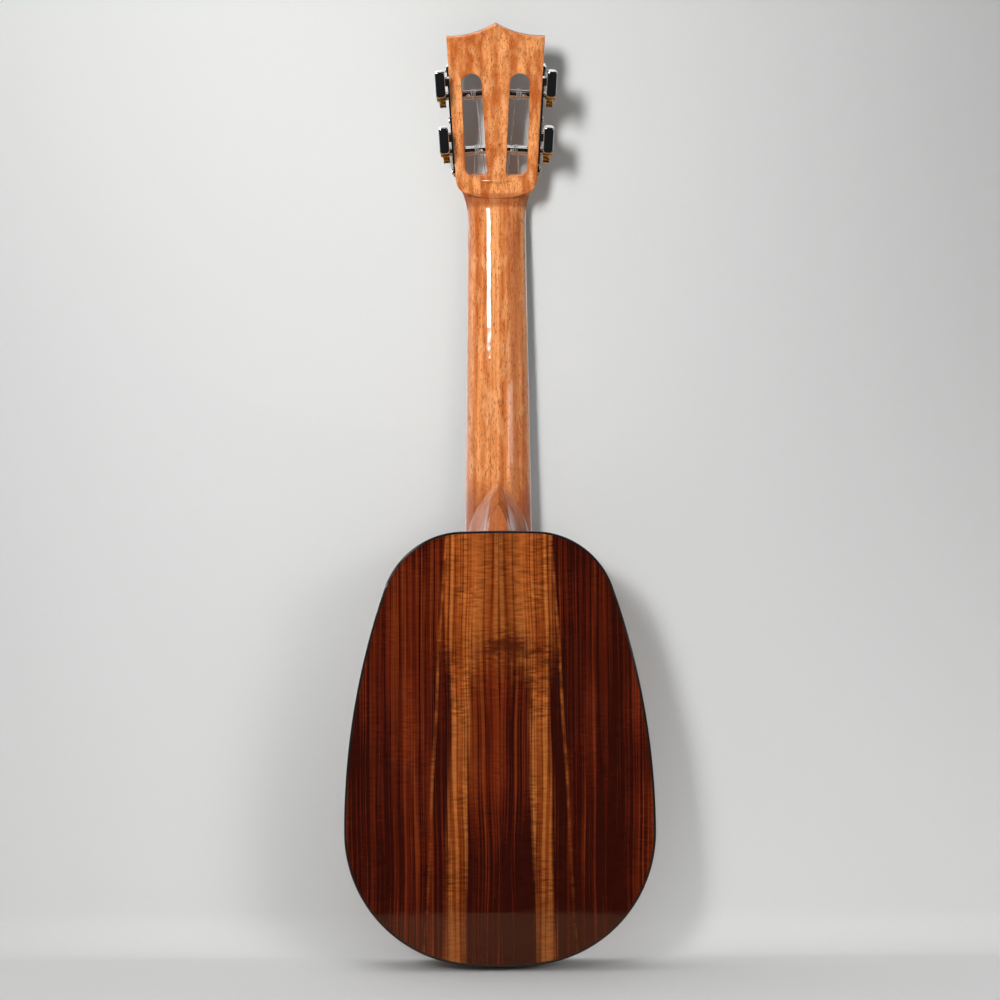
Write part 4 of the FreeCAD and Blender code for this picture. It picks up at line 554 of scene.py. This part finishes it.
def painted_neck_shade(tree, place, grain):
    """Painted shade: darker at the heel, along a band on the bass side of the neck, and under the
    head's lip.
    """
    parted = node(tree, "ShaderNodeSeparateXYZ", {0: place}).outputs
    height = parted["Z"]
    heel = ramp_between(tree, height, HEEL_TOP, HEEL_TOP - HEEL_FADE, 0.0, 0.68)
    from_band = maths(tree, "ABSOLUTE", maths(tree, "SUBTRACT", parted["X"], PAINTED_SHADE_BAND_PLACE))
    from_band = maths(tree, "ADD", from_band, swing(tree, grain, PAINTED_SHADE_BAND_WANDER))
    band = maths(tree, "MULTIPLY",
                 ramp_between(tree, from_band, PAINTED_SHADE_BAND_WIDTH, PAINTED_SHADE_BAND_CORE),
                 ramp_between(tree, height, PAINTED_SHADE_BAND_TOP, PAINTED_SHADE_BAND_FADE, 0.0, 0.62))
    under_lip = maths(tree, "MULTIPLY",
                      ramp_between(tree, height, LIP_LOW - LIP_SHADE_START, LIP_LOW - LIP_SHADE_END,
                                   0.0, 0.6),
                      ramp_between(tree, height, LIP_LOW + LIP_EDGE, LIP_LOW))
    return maths(tree, "MAXIMUM", maths(tree, "MAXIMUM", heel, band), under_lip)


def neck_wood():
    material, tree, shader, place = new_material("neck wood", colour(0.6, 0.22, 0.07))
    bands = stretched_noise(tree, place, (7 * MM, 7 * MM, 300 * MM), detail=2.0)
    grain = stretched_noise(tree, place, (1.1 * MM, 1.1 * MM, 40 * MM), detail=3.0, offset=3.0)
    sheen = stretched_noise(tree, place, (5 * MM, 5 * MM, 14 * MM), detail=2.0, offset=17.0)
    tone = mixed(tree, ramp_between(tree, bands, 0.36, 0.64), NECK_BROWN, NECK_ORANGE)
    tone = mixed(tree, ramp_between(tree, grain, 0.40, 0.70, 0.0, 0.50), tone, NECK_GRAIN)
    tone = mixed(tree, ramp_between(tree, sheen, 0.45, 0.75, 0.0, 0.45), tone, NECK_SHEEN)
    pores = placed_group(tree, PORES, {"Place": place, "Amount": 0.6})["Mask"]
    tone = mixed(tree, maths(tree, "MULTIPLY", pores, 0.62), tone, NECK_PORES)
    # Painted shade over the heel, the band on the bass side and the hollow under the lip.
    tone = mixed(tree, painted_neck_shade(tree, place, grain), tone, NECK_PAINTED_SHADE)
    tree.links.new(tone, shader.inputs["Base Color"])
    lacquered(tree, shader, place, roughness=0.05, waviness=0.04)
    matt_ends(tree, shader, place)
    return material


dress(neck_wood(), "neck", "heel_cap")

# Head plate, fretboard and bridge. All three are near-black hardwood: a thin
# plate glued to the head's face, the board with its frets, and the bridge.
# The head plate is lacquered with the neck; board and bridge are only oiled.

NEAR_BLACK = colour(0.016, 0.009, 0.007)
BROWN_STREAK = colour(0.060, 0.030, 0.019)
BROWN_HAIR = colour(0.085, 0.045, 0.028)
BLACK_PORE = colour(0.008, 0.005, 0.004)


def dark_wood(name, gloss):
    """Near-black wood with brown streaks and open pores, lacquered or only oiled."""
    material, tree, shader, place = new_material(name, colour(0.03, 0.018, 0.012), 0.4)
    streaks = stretched_noise(tree, place, (2.2 * MM, 2.2 * MM, 90 * MM), detail=3.0)
    hairs = stretched_noise(tree, place, (0.5 * MM, 0.5 * MM, 30 * MM), detail=2.0, offset=4.0)
    tone = mixed(tree, ramp_between(tree, streaks, 0.38, 0.68), NEAR_BLACK, BROWN_STREAK)
    tone = mixed(tree, ramp_between(tree, hairs, 0.5, 0.75, 0.0, 0.5), tone, BROWN_HAIR)
    pores = placed_group(tree, PORES, {"Place": place, "Amount": 0.35})["Mask"]
    tone = mixed(tree, maths(tree, "MULTIPLY", pores, 0.7), tone, BLACK_PORE)
    tree.links.new(tone, shader.inputs["Base Color"])
    if gloss:
        lacquered(tree, shader, place)
        matt_ends(tree, shader, place)
        return material
    rough = ramp_between(tree, streaks, 0.3, 0.7, 0.34, 0.50)
    tree.links.new(rough, shader.inputs["Roughness"])
    bump = node(tree, "ShaderNodeBump", {
        "Strength": 0.5, "Distance": 0.08 * MM, "Height": maths(tree, "SUBTRACT", 1.0, pores)})
    tree.links.new(bump.outputs[0], shader.inputs["Normal"])
    return material


dress(dark_wood("lacquered dark wood", gloss=True), "headplate")
dress(dark_wood("oiled dark wood", gloss=False), "fretboard", "bridge")

# Frets and position marks. The frets are nickel-silver wire pressed into sawn
# slots and crowned with a file; the marks are round slips of pearl shell.


def worn_metal_group():
    """Handling marks on bright metal: soft smears and fine scratches along one axis."""
    tree, given, out = new_group("worn metal", (
        ("Place", "Vector", None),
        ("Colour", "Color", colour(0.6, 0.6, 0.6)),
        ("Tarnish", "Color", colour(0.4, 0.4, 0.4)),
        ("Roughness", "Float", 0.12),
        ("Wear", "Float", 0.4),
    ), (("Color", "Color"), ("Roughness", "Float"), ("Normal", "Vector")))
    place = given["Place"]
    smear = stretched_noise(tree, place, (3 * MM, 3 * MM, 3 * MM), detail=4.0, roughness=0.6)
    scratch = stretched_noise(tree, place, (6 * MM, 0.12 * MM, 0.12 * MM), detail=1.0, offset=31.0)
    dirt = maths(tree, "MULTIPLY", ramp_between(tree, smear, 0.45, 0.75), given["Wear"])
    tone = mixed(tree, dirt, given["Colour"], given["Tarnish"])
    rough = maths(tree, "MULTIPLY", given["Roughness"],
                  maths(tree, "ADD", 0.8, maths(tree, "MULTIPLY", dirt, 2.5)))
    skin = node(tree, "ShaderNodeBump", {
        "Strength": maths(tree, "MULTIPLY", given["Wear"], 0.25), "Distance": 0.02 * MM,
        "Height": scratch}).outputs[0]
    tree.links.new(tone, out["Color"])
    tree.links.new(rough, out["Roughness"])
    tree.links.new(skin, out["Normal"])
    return tree


WORN_METAL = worn_metal_group()


def metal(name, shade, tarnish, roughness, wear):
    material, tree, shader, place = new_material(name, shade, roughness, {"Metallic": 1.0})
    skin = placed_group(tree, WORN_METAL, {
        "Place": place, "Colour": shade, "Tarnish": tarnish, "Roughness": roughness, "Wear": wear})
    tree.links.new(skin["Color"], shader.inputs["Base Color"])
    tree.links.new(skin["Roughness"], shader.inputs["Roughness"])
    tree.links.new(skin["Normal"], shader.inputs["Normal"])
    return material


PEARL_GREEN = colour(0.56, 0.66, 0.62)
PEARL_ROSE = colour(0.86, 0.80, 0.80)
PEARL_BLUE = colour(0.55, 0.62, 0.78)


def pearl():
    material, tree, shader, place = new_material("pearl shell", colour(0.75, 0.78, 0.74), 0.12)
    cloud = stretched_noise(tree, place, (2.0 * MM, 2.0 * MM, 3.0 * MM), detail=3.0)
    tint = stretched_noise(tree, place, (1.2 * MM, 1.2 * MM, 4.0 * MM), detail=2.0, offset=6.0)
    tone = mixed(tree, ramp_between(tree, cloud, 0.35, 0.65), PEARL_GREEN, PEARL_ROSE)
    tone = mixed(tree, ramp_between(tree, tint, 0.45, 0.7, 0.0, 0.5), tone, PEARL_BLUE)
    tree.links.new(tone, shader.inputs["Base Color"])
    return material


dress(metal("nickel silver", colour(0.66, 0.64, 0.58), colour(0.42, 0.39, 0.32), 0.18, 0.4), "frets")
dress(pearl(), "position_dots")

# Nut and saddle, sawn from bleached bone and polished where the strings bear.

BONE_PALE = colour(0.80, 0.75, 0.62)
BONE_CLOUD = colour(0.70, 0.63, 0.48)
BONE_VEIN = colour(0.55, 0.45, 0.30)


def bone():
    material, tree, shader, place = new_material(
        "polished bone", BONE_PALE, 0.25, {"Subsurface Weight": 0.15, "Subsurface Scale": 1.5 * MM})
    veins = stretched_noise(tree, place, (9 * MM, 0.5 * MM, 0.5 * MM), detail=2.0)
    cloud = stretched_noise(tree, place, (6 * MM, 3 * MM, 3 * MM), detail=2.0, offset=8.0)
    tone = mixed(tree, cloud, BONE_PALE, BONE_CLOUD)
    tone = mixed(tree, ramp_between(tree, veins, 0.62, 0.8, 0.0, 0.6), tone, BONE_VEIN)
    tree.links.new(tone, shader.inputs["Base Color"])
    tree.links.new(ramp_between(tree, cloud, 0.3, 0.7, 0.18, 0.34), shader.inputs["Roughness"])
    return material


dress(bone(), "nut", "saddle")

# Tuning machines. On each side a chromed plate with four ears carries two
# steel worms with cast buttons; each worm turns a brass wheel that is screwed
# to the end of a chromed roller across the slot.

TUNERS = ("bass_lower", "bass_upper", "treble_lower", "treble_upper")

CHROME = metal("chrome plate", colour(0.60, 0.61, 0.63), colour(0.36, 0.36, 0.37), 0.07, 0.35)
STEEL = metal("bright steel", colour(0.52, 0.52, 0.53), colour(0.30, 0.29, 0.28), 0.16, 0.5)
BRASS = metal("cut brass", colour(0.70, 0.47, 0.14), colour(0.36, 0.22, 0.06), 0.20, 0.6)

dress(CHROME, "tuner_plate_bass", "tuner_plate_treble", "plate_screws")
for tuner in TUNERS:
    dress(CHROME, "button_" + tuner, "roller_" + tuner)
    dress(STEEL, "worm_" + tuner)
    dress(BRASS, "gear_" + tuner, "gear_screw_" + tuner)

# Strings. Clear polymer cord, knotted in the bridge and wound three times on
# its roller; the end goes through the roller's hole and is cut off short.


def clear_cord():
    material, tree, shader, place = new_material(
        "clear cord", colour(0.45, 0.45, 0.43), 0.18, {"Transmission Weight": 0.5, "IOR": 1.42})
    cloud = stretched_noise(tree, place, (4 * MM, 4 * MM, 12 * MM), detail=2.0)
    tone = mixed(tree, cloud, colour(0.48, 0.48, 0.46), colour(0.36, 0.36, 0.34))
    tree.links.new(tone, shader.inputs["Base Color"])
    tree.links.new(ramp_between(tree, cloud, 0.3, 0.7, 0.12, 0.28), shader.inputs["Roughness"])
    return material


CORD = clear_cord()
dress(CORD, "first_string", "second_string", "third_string", "fourth_string")

# Ends of the strings. Each end goes through the hole in its roller, bends where
# it comes out and is cut off short. It turns with the roller.

ROLLER_RADIUS = 2.75 * MM
WINDING_GAP = 0.45 * MM
WINDING_TURNS = 3
OUTER_WINDING = 13 * MM
INNER_WINDING = 16 * MM
END_REACH = 3.2 * MM
END_BEND = 1.6 * MM
END_SIDES = 12
BEND_STEPS = 8
MOUTH_SHARE = 0.9
END_DIAMETERS = {
    "bass_lower": 0.56 * MM, "bass_upper": 0.74 * MM,
    "treble_upper": 0.66 * MM, "treble_lower": 0.60 * MM,
}


def tube(name, points, radius):
    """A round closed tube along a row of points."""
    corners = []
    faces = []
    for index, point in enumerate(points):
        before = points[max(index - 1, 0)]
        after = points[min(index + 1, len(points) - 1)]
        turn = (after - before).to_track_quat("Z", "Y")
        for side in range(END_SIDES):
            angle = math.tau * side / END_SIDES
            corners.append(point + turn @ Vector((math.cos(angle), math.sin(angle), 0)) * radius)
    for ring in range(len(points) - 1):
        for side in range(END_SIDES):
            here = ring * END_SIDES + side
            beside = ring * END_SIDES + (side + 1) % END_SIDES
            faces.append((here, beside, beside + END_SIDES, here + END_SIDES))
    last = len(corners) - END_SIDES
    faces.append(tuple(reversed(range(END_SIDES))))
    faces.append(tuple(range(last, last + END_SIDES)))
    mesh = bpy.data.meshes.new(name)
    mesh.from_pydata(corners, [], faces)
    mesh.polygons.foreach_set("use_smooth", [len(face) == 4 for face in faces])
    made = bpy.data.objects.new(name, mesh)
    bpy.context.scene.collection.objects.link(made)
    return made


def string_end(tuner):
    """The cord past the last turn: straight through the hole, then one bend outwards."""
    diameter = END_DIAMETERS[tuner]
    joints = {joint["name"]: joint for joint in frame["joints"]}
    roller = joints[tuner + "_roller_turn"]
    outward = Vector(roller["axis"])
    back = Vector(joints[tuner + "_button_turn"]["axis"])
    step = (WINDING_TURNS + 1) * (diameter + WINDING_GAP)
    place = OUTER_WINDING + step if tuner.endswith("lower") else INNER_WINDING - step
    hole = Vector(roller["pos_m"]) - outward * place
    start = hole - back * (ROLLER_RADIUS + END_REACH / 3)
    mouth = hole + back * ROLLER_RADIUS * MOUTH_SHARE
    corner = hole + back * (ROLLER_RADIUS + END_REACH / 2)
    end = hole + back * (ROLLER_RADIUS + END_REACH) + outward * END_BEND
    points = [start, hole]
    for count in range(BEND_STEPS + 1):
        share = count / BEND_STEPS
        points.append(mouth.lerp(corner, share).lerp(corner.lerp(end, share), share))
    piece = tube("string_end_" + tuner, points, diameter / 2)
    piece.data.materials.append(CORD)
    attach(piece, tuner + "_roller")


for tuner in TUNERS:
    string_end(tuner)

# Stage. The ukulele leans back until its nut all but touches a wall of pale
# paper that curves into the floor, so both are turned by its lean. The wall is
# seen only from the object's side; in the lacquer the floor is warm and short.

LEAN = math.radians(2.5)
PIVOT_DEPTH = -27.3 * MM
WALL_REACH = 28.6 * MM
WALL_HEIGHT = 2.4
SHEET_HALF_WIDTH = 2.2
SWEEP_RADIUS = 28 * MM
SWEEP_STEPS = 24
FLOOR_REACH = 4.0
FLOOR_SHINE_REACH = 0.50
FLOOR_SHINE_EDGE = 8 * MM
FLOOR_SHINE = colour(0.52, 0.29, 0.14)
PAPER_GREY = colour(0.60, 0.61, 0.60)
PAPER_PALE = colour(0.66, 0.66, 0.655)
PAPER_FIBRE = colour(0.5, 0.5, 0.5)


def paper(name):
    """Pale matt paper; returns the material, its tree, the shader, the place and the tone."""
    material, tree, shader, place = new_material(name, colour(0.62, 0.63, 0.62), 0.9)
    fibre = stretched_noise(tree, place, (3 * MM, 3 * MM, 3 * MM), detail=3.0)
    cloud = stretched_noise(tree, place, (0.5, 0.5, 0.5), detail=1.0, offset=2.0)
    tone = mixed(tree, cloud, PAPER_GREY, PAPER_PALE)
    tone = mixed(tree, maths(tree, "MULTIPLY", fibre, 0.08), tone, PAPER_FIBRE)
    return material, tree, shader, place, tone


def hide(tree, shader, hidden):
    """Let rays through the paper where the value is 1."""
    clear = node(tree, "ShaderNodeBsdfTransparent").outputs[0]
    blend = node(tree, "ShaderNodeMixShader", {0: hidden, 1: shader.outputs[0], 2: clear})
    tree.links.new(blend.outputs[0], tree.nodes["Material Output"].inputs["Surface"])


def wall_paper():
    """Seen by the camera alone, and only from its front."""
    material, tree, shader, _, tone = paper("backdrop paper")
    tree.links.new(tone, shader.inputs["Base Color"])
    by_camera = node(tree, "ShaderNodeLightPath").outputs["Is Camera Ray"]
    behind = node(tree, "ShaderNodeNewGeometry").outputs["Backfacing"]
    seen = maths(tree, "MULTIPLY", by_camera, maths(tree, "SUBTRACT", 1.0, behind))
    hide(tree, shader, maths(tree, "SUBTRACT", 1.0, seen))
    return material


def floor_paper():
    """In reflections the floor is warmer, and it ends a short way behind the object."""
    material, tree, shader, place, tone = paper("floor paper")
    by_gloss = node(tree, "ShaderNodeLightPath").outputs["Is Glossy Ray"]
    tree.links.new(mixed(tree, by_gloss, tone, FLOOR_SHINE), shader.inputs["Base Color"])
    depth = node(tree, "ShaderNodeSeparateXYZ", {0: place}).outputs["Y"]
    far = ramp_between(tree, depth, FLOOR_SHINE_REACH, FLOOR_SHINE_REACH + FLOOR_SHINE_EDGE)
    hide(tree, shader, maths(tree, "MULTIPLY", far, by_gloss))
    return material


def sheet_mesh(name, profile, material):
    """A sheet that follows a profile of depth and height, facing the object."""
    points = [(side * SHEET_HALF_WIDTH, y, z) for y, z in profile for side in (-1, 1)]
    faces = [(2 * i, 2 * i + 1, 2 * i + 3, 2 * i + 2) for i in range(len(profile) - 1)]
    mesh = bpy.data.meshes.new(name)
    mesh.from_pydata(points, [], faces)
    mesh.materials.append(material)
    mesh.polygons.foreach_set("use_smooth", [True] * len(faces))
    made = bpy.data.objects.new(name, mesh)
    bpy.context.scene.collection.objects.link(made)


def leaned(reach, height):
    """Depth and level of a place that far out along the floor and that high above it."""
    return (PIVOT_DEPTH + reach * math.cos(LEAN) + height * math.sin(LEAN),
            height * math.cos(LEAN) - reach * math.sin(LEAN))


def wall_profile():
    """Down the wall, then round the quarter circle into the floor."""
    profile = [leaned(-WALL_REACH, WALL_HEIGHT)]
    for step in range(SWEEP_STEPS + 1):
        angle = math.radians(90) * step / SWEEP_STEPS
        profile.append(leaned(SWEEP_RADIUS * (1 - math.cos(angle)) - WALL_REACH,
                              SWEEP_RADIUS * (1 - math.sin(angle))))
    return profile


sweep_end = leaned(SWEEP_RADIUS - WALL_REACH, 0.0)
sheet_mesh("backdrop", wall_profile(), wall_paper())
FLOOR_PAPER = floor_paper()
sheet_mesh("floor", [sweep_end, leaned(FLOOR_REACH, 0.0)], FLOOR_PAPER)
sheet_mesh("floor_front", [leaned(-FLOOR_REACH, 0.0), sweep_end], FLOOR_PAPER)

# Light. A soft lamp to the left of the camera points at the head, a wide one to
# its right at the floor, and a low one gives back what the floor throws up. A
# narrow panel, a lamp overhead and one before the strings are weaker.

HEAD_PLACE = (0.12, 0.0, 0.60)
TAIL_PLACE = (-0.05, 0.0, -0.05)
FLOOR_PLACE = (-0.05, 0.0, -0.35)
FOOT_PLACE = (0.0, 0.0, 0.03)


def lamp(name, place, target, size, power, spread=180, mirrored=True):
    """An oblong lamp, its size in metres and its spread in degrees."""
    light = bpy.data.lights.new(name, "AREA")
    light.shape = "RECTANGLE"
    light.size, light.size_y = size
    light.spread = math.radians(spread)
    light.energy = power
    made = bpy.data.objects.new(name, light)
    bpy.context.scene.collection.objects.link(made)
    made.location = place
    made.visible_glossy = mirrored
    made.visible_camera = False
    aim = Vector(target) - Vector(place)
    made.rotation_mode = "QUATERNION"
    made.rotation_quaternion = aim.to_track_quat("-Z", "Y")


lamp("key lamp", (0.72, 1.90, 1.007), HEAD_PLACE, size=(0.36, 0.767), power=2.35, spread=36)
lamp("fill lamp", (-1.30, 1.70, 0.45), FLOOR_PLACE, size=(1.2, 0.7), power=2.4, spread=40,
     mirrored=False)
lamp("low lamp", (0.0, 0.85, 0.12), FOOT_PLACE, size=(1.5, 0.15), power=0.33, spread=50,
     mirrored=False)
lamp("side panel", (-1.06, 1.70, 0.51), HEAD_PLACE, size=(0.60, 0.10), power=0.7)
lamp("overhead lamp", (0.2, 0.5, 2.3), TAIL_PLACE, size=(1.6, 1.6), power=12.0)
lamp("front lamp", (-0.9, -2.2, 1.3), HEAD_PLACE, size=(1.4, 1.4), power=2.0)

# The room. It is bright beyond the wall, darker on the bass side and nearly
# black behind the camera; the camera itself sees plain pale grey.

ROOM_DARK = 0.02
ROOM_BRIGHT = 1.10
BASS_SIDE_LEVEL = 0.35
SEEN_LEVEL = 0.72

world = bpy.data.worlds.new("room")
bpy.context.scene.world = world
world.use_nodes = True
room = world.node_tree
way = node(room, "ShaderNodeTexCoord").outputs["Generated"]
way_parts = node(room, "ShaderNodeSeparateXYZ", {0: way}).outputs
wall_light = ramp_between(room, way_parts["Y"], 0.30, -0.05, ROOM_DARK, ROOM_BRIGHT)
side_light = ramp_between(room, way_parts["X"], -0.7, 0.2, BASS_SIDE_LEVEL, 1.0)
room_light = maths(room, "MULTIPLY", wall_light, side_light)
seen = node(room, "ShaderNodeLightPath").outputs["Is Camera Ray"]
level = node(room, "ShaderNodeMix", {0: seen, 2: room_light, 3: SEEN_LEVEL}, data_type="FLOAT")
background = room.nodes["Background"]
room.links.new(level.outputs[0], background.inputs["Strength"])
background.inputs["Color"].default_value = colour(1.0, 1.0, 1.0)

# Camera. It faces the back from 2.4 m away and stands two degrees lower than
# level. SCALE is the width of one pixel at that distance, and TURN is the
# slight tilt of the frame.

SCALE = 0.6256 * MM
FRAME_PIXELS = 1000
TURN = math.radians(0.325)
CAMERA_REACH = 2.4
CAMERA_RISE = math.radians(-2)
CAMERA_AIM = Vector((-1.1 * MM, 0, 288.1 * MM))
SENSOR = 36.0

camera_data = bpy.data.cameras.new("camera")
camera = bpy.data.objects.new("camera", camera_data)
bpy.context.scene.collection.objects.link(camera)
camera_data.sensor_width = SENSOR
camera_data.lens = SENSOR * CAMERA_REACH / (SCALE * FRAME_PIXELS)
away = Vector((0.0, math.cos(CAMERA_RISE), math.sin(CAMERA_RISE)))
camera.location = CAMERA_AIM + away * CAMERA_REACH
camera.rotation_mode = "QUATERNION"
facing = (-away).to_track_quat("-Z", "Y")
camera.rotation_quaternion = facing @ Quaternion((0, 0, 1), -TURN)
bpy.context.scene.camera = camera
bpy.context.scene.view_settings.view_transform = "Standard"
